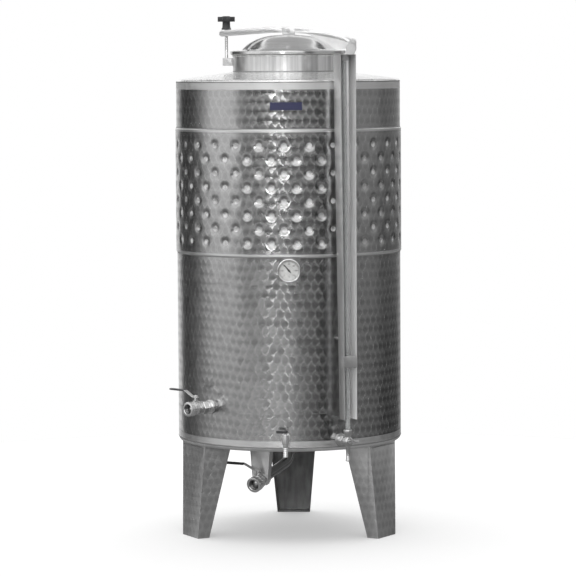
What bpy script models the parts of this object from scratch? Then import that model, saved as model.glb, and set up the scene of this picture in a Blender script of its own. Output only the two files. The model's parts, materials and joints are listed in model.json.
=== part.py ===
# Vertical stainless storage tank on three folded legs.
# It has a lidded manway with a swing bolt, a dimpled cooling jacket, a sight gauge, a thermometer,
# a racking valve, a sample tap and a bottom drain.
# Metres, +Z up, floor at zero. The origin is the middle of the outline's box on the floor, and the
# tank's own axis stands at AXIS_X, AXIS_Y. Azimuths run from the front (-Y) towards +X.

from math import atan2, cos, degrees, pi, radians, sin, sqrt

import bmesh
import bpy
from mathutils import Matrix, Vector

GAP = 0.0003            # left between pieces that touch
SHEET = 0.002

# Tank shell and its ends
SHELL_RADIUS = 0.390
SHELL_SIDES = 48
SHELL_PANELS = 8
KNUCKLE_TOP = 0.334     # weld between the bottom and the shell
BOTTOM_RIM = 0.3197
BOTTOM_RIM_RADIUS = 0.376
BOTTOM_OUTLET = 0.300
SHELL_TOP = 1.570
ROOF_RIM = 1.5785
ROOF_RIM_RADIUS = 0.3815
ROOF_PEAK = 1.604

# Cooling jacket
JACKET_BOTTOM = 0.980
JACKET_TOP = 1.411
JACKET_OUTER = 0.3935
SOCKET_RADIUS = 0.017
SOCKET_BORE = 0.012
SOCKET_LENGTH = 0.040
SOCKET_INLET = 1.010
SOCKET_OUTLET = 1.385

# Manway neck and lid
NECK_RADIUS = 0.191
NECK_TOP = 1.6625
BEAD_RADIUS = 0.197
LID_RADIUS = 0.202
LID_UNDERSIDE = 1.6648
LID_RIM_TOP = 1.6765
DOME_FOOT = 0.162
DOME_SAG = 0.0484
DOME_TOP = 1.732

# Clamp arm across the lid
ARM_WIDTH = 0.040
ARM_SHEET = 0.0025
ARM_DEPTH = 0.021
ARM_LEFT = -0.237
ARM_LEFT_TOP = 1.7475
ARM_SLOPE = 4.2         # degrees, on the straight left part
ARM_BEND_START = -0.080
ARM_BEND_RADIUS = 0.788
ARM_END_RADIUS = 0.0125
HINGE_X = 0.2269
HINGE_Z = 1.707
PIN_RADIUS = 0.004
PIN_HOLE = 0.0045

# Yoke that hangs the lid under the arm
YOKE_X = 0.003
YOKE_Z = 1.746

# Swing bolt and star knob
BOLT_X = -0.2136
CLEVIS_Z = 1.639
BOLT_RADIUS = 0.0055
BOLT_TOP = 1.785
EYE_RADIUS = 0.0095
KNOB_BOTTOM = 1.7508
KNOB_TOP = 1.7977

# Legs
LEG_AZIMUTHS = {"leg_right": 60.0, "leg_back": 180.0, "leg_left": -60.0}
LEG_SHEET = 0.003
LEG_WIDTH_FOOT = 0.118
LEG_WIDTH_TOP = 0.174
LEG_REACH_FOOT = 0.393
LEG_REACH_TOP = 0.376
LEG_FLANGE_FOOT = 0.044
LEG_FLANGE_TOP = 0.100
LEG_HEIGHT = 0.320
FOOT_THICKNESS = 0.005

# Thermometer
THERMOMETER_AT = 2.0
THERMOMETER_HEIGHT = 0.938
NEEDLE_LEAN = 40.0

# Racking valve at the left
RACKING_AT = -42.0
RACKING_HEIGHT = 0.464
RACKING_LENGTH = 0.1095
RACKING_STEM = 0.070
RACKING_STEM_TOP = 0.0372
LEVER_REACH = 0.126
GRIP_HALF_WIDTH = 0.008

# Bottom drain
DRAIN_AT = -28.0
DRAIN_TILT = 13.0
DRAIN_MOUTH_REACH = 0.254
DRAIN_MOUTH_HEIGHT = 0.1825
DRAIN_VALVE_LENGTH = 0.092
DRAIN_STEM = 0.052
DRAIN_PIPE_RADIUS = 0.0175
DRAIN_BEND = 0.050
HANGER_REACH = 0.209
HANGER_FOOT = 0.198

# Sample tap
TAP_AT = 0.0
TAP_HEIGHT = 0.370
TAP_REACH = 0.045
TAP_HEAD_RADIUS = 0.0095

# Sight gauge
GAUGE_AT = 28.2
GUARD_TOP = 1.6597
GUARD_FOOT = 0.432
GUARD_WEB_TOP = 0.404
GUARD_WEB_FOOT = 0.428
GUARD_WIDTH_TOP = 0.059
GUARD_WIDTH_FOOT = 0.047
GUARD_DEPTH_TOP = 0.054
GUARD_DEPTH_FOOT = 0.040
GUARD_SHEET = 0.0015
STAND_OFFS = (1.50, 0.70)
TUBE_RADIUS = 0.008
TUBE_REACH_TOP = 0.427
TUBE_REACH_FOOT = 0.444
TUBE_TOP = 1.6397
GAUGE_VALVE_HEIGHT = 0.357
GAUGE_CUP_TOP = 0.040
CLIP_FOOT = 0.610
CLIP_TOP = 0.649

# Where the outline's box ends, measured from the tank's axis
WALL_FACE = SHELL_RADIUS + GAP
OUTLET_RADIUS = DRAIN_PIPE_RADIUS + GAP
STEM_REACH = WALL_FACE + RACKING_STEM
LEVER_AT = radians(RACKING_AT - 90.0)
REACH_LEFT = (STEM_REACH * -sin(radians(RACKING_AT)) - LEVER_REACH * sin(LEVER_AT)
              + GRIP_HALF_WIDTH * abs(cos(LEVER_AT)))
REACH_RIGHT = JACKET_OUTER
REACH_FRONT = WALL_FACE + TAP_REACH + TAP_HEAD_RADIUS
REACH_BACK = JACKET_OUTER + GAP + SOCKET_LENGTH
AXIS_X = (REACH_LEFT - REACH_RIGHT) / 2
AXIS_Y = (REACH_FRONT - REACH_BACK) / 2


# Scene, materials and objects

def clear_scene():
    for thing in list(bpy.data.objects):
        bpy.data.objects.remove(thing, do_unlink=True)


def material(name, color, metallic, roughness):
    made = bpy.data.materials.new(name)
    made.use_nodes = True
    shader = made.node_tree.nodes["Principled BSDF"]
    shader.inputs["Base Color"].default_value = (*color, 1.0)
    shader.inputs["Metallic"].default_value = metallic
    shader.inputs["Roughness"].default_value = roughness
    return made


def add_object(name, bm, finish, matrix=None):
    """Closes a bmesh into an object that stands in the tank's frame."""
    bmesh.ops.recalc_face_normals(bm, faces=bm.faces)
    mesh = bpy.data.meshes.new(name)
    bm.to_mesh(mesh)
    bm.free()
    mesh.shade_smooth()
    mesh.set_sharp_from_angle(angle=radians(35.0))
    mesh.materials.append(finish)
    thing = bpy.data.objects.new(name, mesh)
    bpy.context.scene.collection.objects.link(thing)
    thing.parent = tank
    if matrix is not None:
        thing.matrix_local = matrix
    return thing


def guide(bm, matrix=None):
    """A solid that only cuts or extends another one."""
    thing = add_object("guide", bm, steel, matrix)
    thing.hide_render = True
    thing.display_type = 'WIRE'
    return thing


def combine(thing, others, operation):
    for other in others:
        modifier = thing.modifiers.new(operation.title(), 'BOOLEAN')
        modifier.operation = operation
        modifier.object = other
        modifier.solver = 'EXACT'


def fuse(thing, *others):
    combine(thing, others, 'UNION')


def cut(thing, *others):
    combine(thing, others, 'DIFFERENCE')


# Frames

def port(azimuth, reach, height, tilt=0.0):
    """Frame with +Z out of the wall, +Y up and +X to the right."""
    turn = Matrix.Rotation(radians(azimuth), 4, 'Z')
    outward = Matrix.Rotation(radians(90.0 + tilt), 4, 'X')
    return turn @ Matrix.Translation((0.0, -reach, height)) @ outward


def wall_frame(azimuth):
    """Frame on the tank's axis with -Y out of the wall."""
    return Matrix.Rotation(radians(azimuth), 4, 'Z')


# Basic solids

def turned(outline, sides=24, start=0.0, sweep=360.0):
    """Spins an outline of (radius, height) points about Z."""
    bm = bmesh.new()
    corners = [bm.verts.new((radius, 0.0, height)) for radius, height in outline]
    pairs = list(zip(corners, corners[1:]))
    if outline[0][0] > 0.0 or outline[-1][0] > 0.0:
        pairs.append((corners[-1], corners[0]))
    edges = [bm.edges.new(pair) for pair in pairs]
    bmesh.ops.rotate(bm, verts=corners, cent=(0, 0, 0), matrix=Matrix.Rotation(radians(start), 3, 'Z'))
    steps = max(1, round(sides * sweep / 360.0))
    bmesh.ops.spin(bm, geom=corners + edges, cent=(0, 0, 0), axis=(0, 0, 1),
                   angle=radians(sweep), steps=steps)
    bmesh.ops.remove_doubles(bm, verts=bm.verts, dist=1e-6)
    if sweep < 360.0:
        rims = [edge for edge in bm.edges if edge.is_boundary]
        bmesh.ops.holes_fill(bm, edges=rims)
    return bm


def extruded(outline, low, high):
    """Extrudes an outline of (x, y) points from low to high along Z."""
    bm = bmesh.new()
    face = bm.faces.new([bm.verts.new((x, y, low)) for x, y in outline])
    result = bmesh.ops.extrude_face_region(bm, geom=[face])
    raised = [item for item in result["geom"] if isinstance(item, bmesh.types.BMVert)]
    bmesh.ops.translate(bm, verts=raised, vec=(0.0, 0.0, high - low))
    return bm


def side_plate(outline, middle, thickness):
    """Extrudes an outline of (x, z) points along Y about a middle plane."""
    bm = extruded(outline, -thickness / 2, thickness / 2)
    upright = Matrix.Rotation(radians(90.0), 4, 'X')
    bmesh.ops.transform(bm, matrix=Matrix.Translation((0.0, middle, 0.0)) @ upright, verts=bm.verts)
    return bm


def box(low, high):
    bm = bmesh.new()
    bmesh.ops.create_cube(bm, size=1.0)
    size = Vector(high) - Vector(low)
    middle = (Vector(high) + Vector(low)) / 2
    place = Matrix.Translation(middle) @ Matrix.Diagonal((*size, 1.0))
    bmesh.ops.transform(bm, matrix=place, verts=bm.verts)
    return bm


def rod(start, end, radius, sides=16, end_radius=None):
    """A round bar, or a cone frustum, between two points."""
    start = Vector(start)
    end = Vector(end)
    along = end - start
    bm = bmesh.new()
    bmesh.ops.create_cone(bm, cap_ends=True, segments=sides, radius1=radius,
                          radius2=radius if end_radius is None else end_radius, depth=along.length)
    turn = along.to_track_quat('Z', 'Y').to_matrix().to_4x4()
    bmesh.ops.transform(bm, matrix=Matrix.Translation((start + end) / 2) @ turn, verts=bm.verts)
    return bm


def arc(centre, radius, first, last, steps):
    """Points on an arc, with angles in degrees from +X towards +Y."""
    angles = [first + (last - first) * step / steps for step in range(steps + 1)]
    return [(centre[0] + radius * cos(radians(angle)), centre[1] + radius * sin(radians(angle)))
            for angle in angles]


# Tank shell and its ends

def bottom_outline(grow):
    """Outer line of the tank bottom from the outlet out and up to the shell, grown outwards."""
    rise = KNUCKLE_TOP - BOTTOM_RIM
    run = SHELL_RADIUS - BOTTOM_RIM_RADIUS
    knuckle = [(BOTTOM_RIM_RADIUS + (run + grow) * sin(radians(angle)),
                KNUCKLE_TOP - (rise + grow) * cos(radians(angle))) for angle in range(0, 91, 18)]
    return knuckle


def bottom_clearance():
    """The space the tank bottom takes, with a gap, for what is cut to meet it."""
    outline = [(0.0, BOTTOM_OUTLET - GAP), (OUTLET_RADIUS, BOTTOM_OUTLET - GAP)] + bottom_outline(GAP)
    outline += [(SHELL_RADIUS + GAP, 0.5), (0.0, 0.5)]
    return guide(turned(outline, SHELL_SIDES))


def make_shell():
    inner = SHELL_RADIUS - SHEET
    outline = [(SHELL_RADIUS, KNUCKLE_TOP + GAP), (SHELL_RADIUS, SHELL_TOP - GAP),
               (inner, SHELL_TOP - GAP), (inner, KNUCKLE_TOP + GAP)]
    slit = degrees(GAP / SHELL_RADIUS)
    span = 360.0 / SHELL_PANELS
    for index in range(SHELL_PANELS):
        bm = turned(outline, SHELL_SIDES, index * span + slit / 2, span - slit)
        add_object(f"shell_panel_{index + 1}", bm, marbled_steel)


def make_jacket():
    inner = SHELL_RADIUS + GAP
    lip = inner + 0.0005
    edge = 0.006
    outline = [(inner, JACKET_BOTTOM), (lip, JACKET_BOTTOM), (JACKET_OUTER, JACKET_BOTTOM + edge),
               (JACKET_OUTER, JACKET_TOP - edge), (lip, JACKET_TOP), (inner, JACKET_TOP)]
    add_object("cooling_jacket", turned(outline, SHELL_SIDES), marbled_steel)


def make_jacket_sockets():
    bore_floor = 0.010
    outline = [(0.0, 0.0), (SOCKET_RADIUS, 0.0), (SOCKET_RADIUS, SOCKET_LENGTH),
               (SOCKET_BORE, SOCKET_LENGTH), (SOCKET_BORE, bore_floor), (0.0, bore_floor)]
    for name, height in (("jacket_inlet", SOCKET_INLET), ("jacket_outlet", SOCKET_OUTLET)):
        add_object(name, turned(outline, 24), steel, port(180.0, JACKET_OUTER + GAP, height))


def make_bottom():
    outer = bottom_outline(0.0)
    tighten = 0.86
    fade = (0.0, 0.05, 0.2, 0.45, 0.75, 1.0)
    inner = [(BOTTOM_RIM_RADIUS + (radius - BOTTOM_RIM_RADIUS) * tighten, height + SHEET * (1.0 - share))
             for (radius, height), share in zip(outer, fade)]
    outline = [(OUTLET_RADIUS, BOTTOM_OUTLET)] + outer + inner[::-1]
    outline.append((OUTLET_RADIUS, BOTTOM_OUTLET + SHEET))
    add_object("tank_bottom", turned(outline, SHELL_SIDES), plain_steel)


def make_roof():
    hole = NECK_RADIUS + GAP
    wall = SHEET * 0.95
    rise = ROOF_RIM - SHELL_TOP
    run = SHELL_RADIUS - ROOF_RIM_RADIUS
    knuckle = [(ROOF_RIM_RADIUS + run * cos(radians(angle)), SHELL_TOP + rise * sin(radians(angle)))
               for angle in range(0, 91, 30)]
    under = [(radius - wall, height) for radius, height in knuckle[:2]]
    outline = knuckle + [(hole, ROOF_PEAK), (hole, ROOF_PEAK - SHEET),
                         (ROOF_RIM_RADIUS - 0.001, ROOF_RIM - SHEET)] + under[::-1]
    add_object("roof_cone", turned(outline, SHELL_SIDES), plain_steel)


# Manway

def make_neck():
    inner = NECK_RADIUS - SHEET
    foot = ROOF_PEAK - 0.010
    bead = 0.0075
    edge = BEAD_RADIUS - 0.001
    outline = [(inner, foot), (NECK_RADIUS, foot), (NECK_RADIUS, NECK_TOP - bead), (edge, NECK_TOP - bead),
               (BEAD_RADIUS, NECK_TOP - bead / 2), (edge, NECK_TOP), (inner, NECK_TOP)]
    add_object("manway_neck", turned(outline, SHELL_SIDES), plain_steel)


def dome_line(drop):
    """The crown, flatter in its middle, from there out; its inside is lower by the sheet's thickness."""
    shares = [step / 6 for step in range(7)]
    return [(DOME_FOOT * share, DOME_TOP - drop - DOME_SAG * share ** 2 * (0.35 + 0.65 * share ** 2))
            for share in shares]


def make_lid():
    ring_inner = 0.184
    edge = 0.002
    ledge = [(0.1655, 1.6805), (0.178, 1.6775)]
    rim = [(LID_RADIUS - edge, LID_RIM_TOP), (LID_RADIUS, LID_RIM_TOP - edge), (LID_RADIUS, LID_UNDERSIDE)]
    outer = dome_line(0.0) + ledge + rim
    under = [(radius, height - SHEET) for radius, height in ledge]
    inner = dome_line(SHEET) + under + [(ring_inner, LID_RIM_TOP - 0.0015), (ring_inner, LID_UNDERSIDE)]
    add_object("lid_dome", turned(outer + inner[::-1], SHELL_SIDES), polished_steel)
    seal_inner = ring_inner + 0.002
    seal_outer = BEAD_RADIUS - 0.001
    low = NECK_TOP + GAP
    high = LID_UNDERSIDE - GAP
    seal = [(seal_inner, low), (seal_outer, low), (seal_outer, high), (seal_inner, high)]
    add_object("lid_seal", turned(seal, SHELL_SIDES), rubber)


def arm_top(x):
    """Height of the arm's top edge: straight at the left, then an arc down to the hinge."""
    slope = radians(ARM_SLOPE)
    if x <= ARM_BEND_START:
        return ARM_LEFT_TOP + (x - ARM_LEFT) * sin(slope) / cos(slope)
    start = ARM_LEFT_TOP + (ARM_BEND_START - ARM_LEFT) * sin(slope) / cos(slope)
    centre_x = ARM_BEND_START + ARM_BEND_RADIUS * sin(slope)
    centre_z = start - ARM_BEND_RADIUS * cos(slope)
    return centre_z + sqrt(ARM_BEND_RADIUS ** 2 - (x - centre_x) ** 2)


def arm_line(first, last, drop):
    steps = 10
    stations = [first + (last - first) * step / steps for step in range(steps + 1)]
    return [(x, arm_top(x) - drop) for x in stations]


def make_arm():
    left = ARM_LEFT + 0.006
    right = HINGE_X - 0.010
    beyond_left = ARM_LEFT - 0.02
    beyond_right = HINGE_X + 0.02
    below = LID_UNDERSIDE
    inside = ARM_WIDTH / 2 - ARM_SHEET
    slot_half = BOLT_RADIUS + 0.0015
    slot_end = BOLT_X + BOLT_RADIUS + 0.003
    nose = [(ARM_LEFT, arm_top(ARM_LEFT) - ARM_DEPTH + 0.006), (ARM_LEFT, arm_top(ARM_LEFT) - 0.005)]
    heel = arc((HINGE_X, HINGE_Z), ARM_END_RADIUS, 75.0, -100.0, 8)
    under = arm_line(left, HINGE_X - 0.020, ARM_DEPTH)[::-1]
    outline = nose + arm_line(left, right, 0.0) + heel + under
    arm = add_object("clamp_arm", side_plate(outline, 0.0, ARM_WIDTH), polished_steel)
    web_line = arm_line(beyond_left, beyond_right, ARM_SHEET)
    hollow = guide(side_plate(web_line + [(beyond_right, below), (beyond_left, below)], 0.0, 2 * inside))
    slot = guide(box((beyond_left, -slot_half, below), (slot_end, slot_half, KNOB_TOP)))
    heel_gap = guide(box((HINGE_X - ARM_END_RADIUS, -inside, below), (beyond_right, inside, BOLT_TOP)))
    hinge_hole = guide(rod((HINGE_X, -ARM_WIDTH, HINGE_Z), (HINGE_X, ARM_WIDTH, HINGE_Z), PIN_HOLE))
    yoke_hole = guide(rod((YOKE_X, -ARM_WIDTH, YOKE_Z), (YOKE_X, ARM_WIDTH, YOKE_Z), PIN_HOLE))
    cut(arm, hollow, slot, heel_gap, hinge_hole, yoke_hole)


def make_yoke():
    """The block that hangs the lid under the arm, on a cross pin with a cheek at each side."""
    low = DOME_TOP + GAP
    high = 1.7573
    post_radius = 0.016
    cheek_sheet = 0.003
    cheek_half = 0.021
    middle = (ARM_WIDTH + cheek_sheet) / 2 + GAP
    left = YOKE_X - cheek_half
    right = YOKE_X + cheek_half
    cheek = [(left, low), (right, low), (right, high), (left, high)]
    post = add_object("arm_block", rod((0.0, 0.0, low), (0.0, 0.0, high), post_radius, 24), steel)
    pin = guide(rod((YOKE_X, -middle, YOKE_Z), (YOKE_X, middle, YOKE_Z), PIN_RADIUS))
    front = guide(side_plate(cheek, -middle, cheek_sheet))
    back = guide(side_plate(cheek, middle, cheek_sheet))
    fuse(post, pin, front, back)


def make_hinge_bracket():
    seat = NECK_RADIUS + GAP
    plate = 0.004
    low = 1.612
    high = 1.648
    past_lid = LID_RADIUS + 0.002
    hub_radius = 0.012
    middle = ARM_WIDTH / 2 + 0.003
    outer = middle + plate / 2
    hub = arc((HINGE_X, HINGE_Z), hub_radius, 180.0, 0.0, 6)
    cheek = [(seat, low), (seat, high), (past_lid, high + 0.0055), (past_lid, HINGE_Z - 0.017)] + hub
    cheek += [(HINGE_X + hub_radius, HINGE_Z - 0.027), (past_lid + plate, low)]
    base = add_object("hinge_bracket", box((seat, -outer, low), (seat + plate, outer, high)), steel)
    front = guide(side_plate(cheek, -middle, plate))
    back = guide(side_plate(cheek, middle, plate))
    pin_half = outer + 0.002
    pin = guide(rod((HINGE_X, -pin_half, HINGE_Z), (HINGE_X, pin_half, HINGE_Z), PIN_RADIUS))
    fuse(base, front, back, pin)


def make_clamp_bracket():
    seat = -NECK_RADIUS - GAP
    plate = 0.004
    half = 0.014
    low = CLEVIS_Z - 0.0135
    high = CLEVIS_Z + 0.0135
    outer = BOLT_X - 0.013
    cheek_inner = 0.0068
    cheek_outer = 0.0118
    base = add_object("clamp_bracket", box((seat - plate, -half, low), (seat, half, high)), steel)
    inside = seat - plate + 0.001
    front = guide(box((outer, -cheek_outer, low), (inside, -cheek_inner, high)))
    back = guide(box((outer, cheek_inner, low), (inside, cheek_outer, high)))
    pin = guide(rod((BOLT_X, -half, CLEVIS_Z), (BOLT_X, half, CLEVIS_Z), PIN_RADIUS))
    fuse(base, front, back, pin)


def make_swing_bolt():
    pivot = Matrix.Translation((BOLT_X, 0.0, CLEVIS_Z))
    half = 0.006
    bolt = add_object("swing_bolt", rod((0.0, -half, 0.0), (0.0, half, 0.0), EYE_RADIUS, 20), steel, pivot)
    shank = guide(rod((0.0, 0.0, half), (0.0, 0.0, BOLT_TOP - CLEVIS_Z), BOLT_RADIUS, 16), pivot)
    eye = guide(rod((0.0, -2 * half, 0.0), (0.0, 2 * half, 0.0), PIN_HOLE), pivot)
    fuse(bolt, shank)
    cut(bolt, eye)


def star_outline():
    """Six round lobes about the knob's middle."""
    lobes = 6
    middle = 0.0255
    swing = 0.0045
    steps = 48
    points = []
    for step in range(steps):
        angle = 2 * pi * step / steps
        radius = middle + swing * cos(lobes * angle)
        points.append((radius * cos(angle), radius * sin(angle)))
    return points


def make_knob():
    bore = BOLT_RADIUS + GAP
    bore_top = BOLT_TOP - KNOB_BOTTOM + GAP
    height = KNOB_TOP - KNOB_BOTTOM
    base = 0.0165
    neck = 0.0130
    hub = [(bore, 0.0), (base, 0.0), (base, 0.004), (0.0140, 0.008), (neck, 0.028), (neck, height),
           (0.0, height), (0.0, bore_top), (bore, bore_top)]
    pivot = Matrix.Translation((BOLT_X, 0.0, KNOB_BOTTOM))
    knob = add_object("star_knob", turned(hub, 20), black_plastic, pivot)
    head = guide(extruded(star_outline(), height - 0.019, height - 0.002), pivot)
    core = guide(turned([(0.0, 0.0), (bore, 0.0), (bore, bore_top), (0.0, bore_top)], 20), pivot)
    fuse(knob, head)
    cut(knob, core)


# Legs

def channel_section(width, web, lip, sheet, height):
    """U-shaped section with the outer face of its web at y = web and its flanges running to y = lip."""
    half = width / 2
    inner = half - sheet
    floor = web + sheet if lip > web else web - sheet
    points = [(-half, lip), (-half, web), (half, web), (half, lip),
              (inner, lip), (inner, floor), (-inner, floor), (-inner, lip)]
    return [(x, y, height) for x, y in points]


def lofted(sections):
    """Joins like sections with bridged sides and closed ends."""
    bm = bmesh.new()
    rings = [[bm.verts.new(point) for point in section] for section in sections]
    for ring in (rings[0], rings[-1]):
        bm.faces.new(ring)
    for low, high in zip(rings, rings[1:]):
        for index, corner in enumerate(low):
            after = (index + 1) % len(low)
            bm.faces.new((corner, low[after], high[after], high[index]))
    return bm


def make_legs():
    clearance = bottom_clearance()
    stretch = 1.15
    rise = LEG_HEIGHT * stretch
    width = LEG_WIDTH_FOOT + (LEG_WIDTH_TOP - LEG_WIDTH_FOOT) * stretch
    reach = LEG_REACH_FOOT + (LEG_REACH_TOP - LEG_REACH_FOOT) * stretch
    flange = LEG_FLANGE_FOOT + (LEG_FLANGE_TOP - LEG_FLANGE_FOOT) * stretch
    lip = LEG_FLANGE_FOOT - LEG_REACH_FOOT
    sections = [channel_section(LEG_WIDTH_FOOT, -LEG_REACH_FOOT, lip, LEG_SHEET, 0.0),
                channel_section(width, -reach, flange - reach, LEG_SHEET, rise)]
    half = (LEG_WIDTH_FOOT - LEG_SHEET) / 2
    front = LEG_SHEET / 2 - LEG_REACH_FOOT
    for name, azimuth in LEG_AZIMUTHS.items():
        turn = wall_frame(azimuth)
        leg = add_object(name, lofted(sections), leg_steel, turn)
        foot = guide(box((-half, front, 0.0), (half, lip, FOOT_THICKNESS)), turn)
        fuse(leg, foot)
        cut(leg, clearance)


# Thermometer

def make_thermometer():
    seat = port(THERMOMETER_AT, WALL_FACE, THERMOMETER_HEIGHT)
    back = 0.012
    floor = back + 0.015
    pocket = [(0.0, 0.0), (0.015, 0.0), (0.015, 0.004), (0.011, 0.005), (0.011, back), (0.0, back)]
    add_object("thermometer_pocket", turned(pocket, 20), steel, seat)
    can = 0.0385
    bezel = 0.040
    glass_edge = 0.0345
    case = [(0.0, back + GAP), (0.036, back + GAP), (can, back + 0.003), (can, 0.030), (bezel, 0.031),
            (bezel, 0.036), (0.0375, 0.0375), (0.0350, 0.0365), (glass_edge, 0.034), (glass_edge, floor),
            (0.0, floor)]
    add_object("thermometer_case", turned(case, 32), polished_steel, seat)
    spindle = 0.0015
    spindle_top = floor + 0.0025
    edge = glass_edge - GAP
    face = floor + 0.001
    dial = [(0.0, floor + GAP), (edge, floor + GAP), (edge, face), (spindle, face), (spindle, spindle_top),
            (0.0, spindle_top)]
    add_object("thermometer_dial", turned(dial, 32), dial_white, seat)
    lift = Matrix.Translation((0.0, 0.0, spindle_top + GAP))
    lean = Matrix.Rotation(radians(NEEDLE_LEAN), 4, 'Z')
    half = [(0.0008, 0.026), (0.002, 0.0035), (0.004, 0.0), (0.0016, -0.0036), (0.0012, -0.010)]
    outline = [(-x, y) for x, y in half] + half[::-1]
    add_object("thermometer_needle", extruded(outline, 0.0, 0.0009), black_plastic, seat @ lift @ lean)


# Ball valves

def valve_body(name, frame, length, mouth, bore, stem, stem_top):
    """A ball valve along +Z with a hexagon at its inlet, a mouth at its far end and a stem up."""
    bore_floor = length - 0.022
    tail = mouth * 0.70
    waist = mouth - 0.0045
    ball = waist + 0.002
    edge = 0.0015
    stem_root = waist - 0.004
    body = [(0.0, 0.0), (tail, 0.0), (tail, stem - 0.026), (waist, stem - 0.022), (ball, stem - 0.008),
            (ball, stem + 0.008), (waist, stem + 0.013), (mouth, stem + 0.015), (mouth, length - edge),
            (mouth - edge, length), (bore, length), (bore, bore_floor)]
    body += [(bore * 0.7, bore_floor), (bore * 0.5, bore_floor + 0.0032), (0.0, bore_floor + 0.005)]
    valve = add_object(name, turned(body, 24), steel, frame)
    hexagon = guide(rod((0.0, 0.0, stem - 0.044), (0.0, 0.0, stem - 0.024), mouth * 0.98, 6), frame)
    spindle = guide(rod((0.0, stem_root, stem), (0.0, stem_top - GAP, stem), 0.006, 12), frame)
    gland = guide(rod((0.0, stem_root, stem), (0.0, waist + 0.006, stem), 0.0105, 6), frame)
    fuse(valve, hexagon, spindle, gland)
    return valve


def make_lever(name, grip_name, frame, reach):
    """A cranked lever along -X, turning about +Y, with a plastic sleeve on its far end."""
    strap = 0.0025
    strap_half = 0.007
    rise = 0.0195
    crank_start = 0.012
    crank_end = 0.049
    strap_end = crank_end + 0.003
    low = [(0.010, 0.0), (-crank_start, 0.0), (-crank_end, rise), (-strap_end, rise)]
    outline = low + [(x, y + strap) for x, y in low[::-1]]
    lever = add_object(name, extruded(outline, -strap_half, strap_half), steel, frame)
    nut = guide(rod((0.0, 0.001, 0.0), (0.0, 0.0085, 0.0), 0.0075, 6), frame)
    fuse(lever, nut)
    middle = rise + strap / 2
    low = middle - 0.0033
    high = middle + 0.0033
    start = -strap_end - GAP
    shoulder = 0.003 - reach
    grip = [(start, low), (start, high), (shoulder, high), (-reach, middle + 0.001), (-reach, middle - 0.001),
            (shoulder, low)]
    add_object(grip_name, extruded(grip, -GRIP_HALF_WIDTH, GRIP_HALF_WIDTH), black_plastic, frame)


def make_racking_valve():
    frame = port(RACKING_AT, WALL_FACE, RACKING_HEIGHT)
    mouth = 0.0248
    bore = 0.0165
    valve = valve_body("racking_valve", frame, RACKING_LENGTH, mouth, bore, RACKING_STEM, RACKING_STEM_TOP)
    boss = guide(rod((0.0, 0.0, 0.0), (0.0, 0.0, 0.006), 0.025, 24), frame)
    fuse(valve, boss)
    pivot = frame @ Matrix.Translation((0.0, RACKING_STEM_TOP, RACKING_STEM))
    make_lever("racking_lever", "racking_grip", pivot, LEVER_REACH)


def drain_frame():
    """Frame of the drain valve, with its inlet at the origin."""
    tilt = radians(DRAIN_TILT)
    reach = DRAIN_MOUTH_REACH - DRAIN_VALVE_LENGTH * cos(tilt)
    height = DRAIN_MOUTH_HEIGHT + DRAIN_VALVE_LENGTH * sin(tilt)
    return port(DRAIN_AT, reach, height, DRAIN_TILT)


def make_drain_pipe():
    """From the outlet in the middle of the bottom, round a bend, to the drain valve."""
    frame = drain_frame()
    inlet = frame @ Vector((0.0, 0.0, -GAP))
    outward = (frame.to_3x3() @ Vector((0.0, 0.0, 1.0))).normalized()
    knee = inlet - outward * (Vector((inlet.x, inlet.y)).length / cos(radians(DRAIN_TILT)))
    turn = radians(90.0 - DRAIN_TILT)
    tangent = DRAIN_BEND * sin(turn / 2) / cos(turn / 2)
    start = knee + Vector((0.0, 0.0, tangent))
    flat = Vector((outward.x, outward.y, 0.0)).normalized()
    centre = start + flat * DRAIN_BEND
    route = [Vector((0.0, 0.0, BOTTOM_OUTLET + SHEET))]
    steps = 7
    for step in range(steps + 1):
        angle = turn * step / steps
        route.append(centre - flat * DRAIN_BEND * cos(angle) - Vector((0.0, 0.0, DRAIN_BEND * sin(angle))))
    route.append(inlet)
    curve = bpy.data.curves.new("drain_pipe", 'CURVE')
    curve.dimensions = '3D'
    curve.bevel_depth = DRAIN_PIPE_RADIUS
    curve.bevel_resolution = 4
    curve.use_fill_caps = True
    curve.materials.append(steel)
    spline = curve.splines.new('POLY')
    spline.points.add(len(route) - 1)
    for place, point in zip(spline.points, route):
        place.co = (*point, 1.0)
    pipe = bpy.data.objects.new("drain_pipe", curve)
    bpy.context.scene.collection.objects.link(pipe)
    pipe.parent = tank


def make_drain():
    frame = drain_frame()
    mouth = 0.0272
    bore = 0.018
    stem_top = 0.040
    lever_reach = 0.136
    valve_body("drain_valve", frame, DRAIN_VALVE_LENGTH, mouth, bore, DRAIN_STEM, stem_top)
    pivot = frame @ Matrix.Translation((0.0, stem_top, DRAIN_STEM))
    make_lever("drain_lever", "drain_grip", pivot, lever_reach)
    make_drain_pipe()
    make_drain_hanger(frame, mouth)


def make_drain_hanger(frame, mouth):
    """A small folded channel that hangs from the tank bottom over the drain valve."""
    foot_width = 0.061
    foot_flange = 0.020
    top_width = 0.084
    top_flange = 0.028
    top = BOTTOM_RIM + 0.0103
    sections = [channel_section(foot_width, -HANGER_REACH, foot_flange - HANGER_REACH, SHEET, HANGER_FOOT),
                channel_section(top_width, -HANGER_REACH, top_flange - HANGER_REACH, SHEET, top)]
    hanger = add_object("drain_hanger", lofted(sections), leg_steel, wall_frame(DRAIN_AT))
    saddle = guide(rod((0.0, 0.0, -0.10), (0.0, 0.0, 0.20), mouth + 0.0005, 24), frame)
    cut(hanger, saddle, bottom_clearance())


# Sample tap

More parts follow.
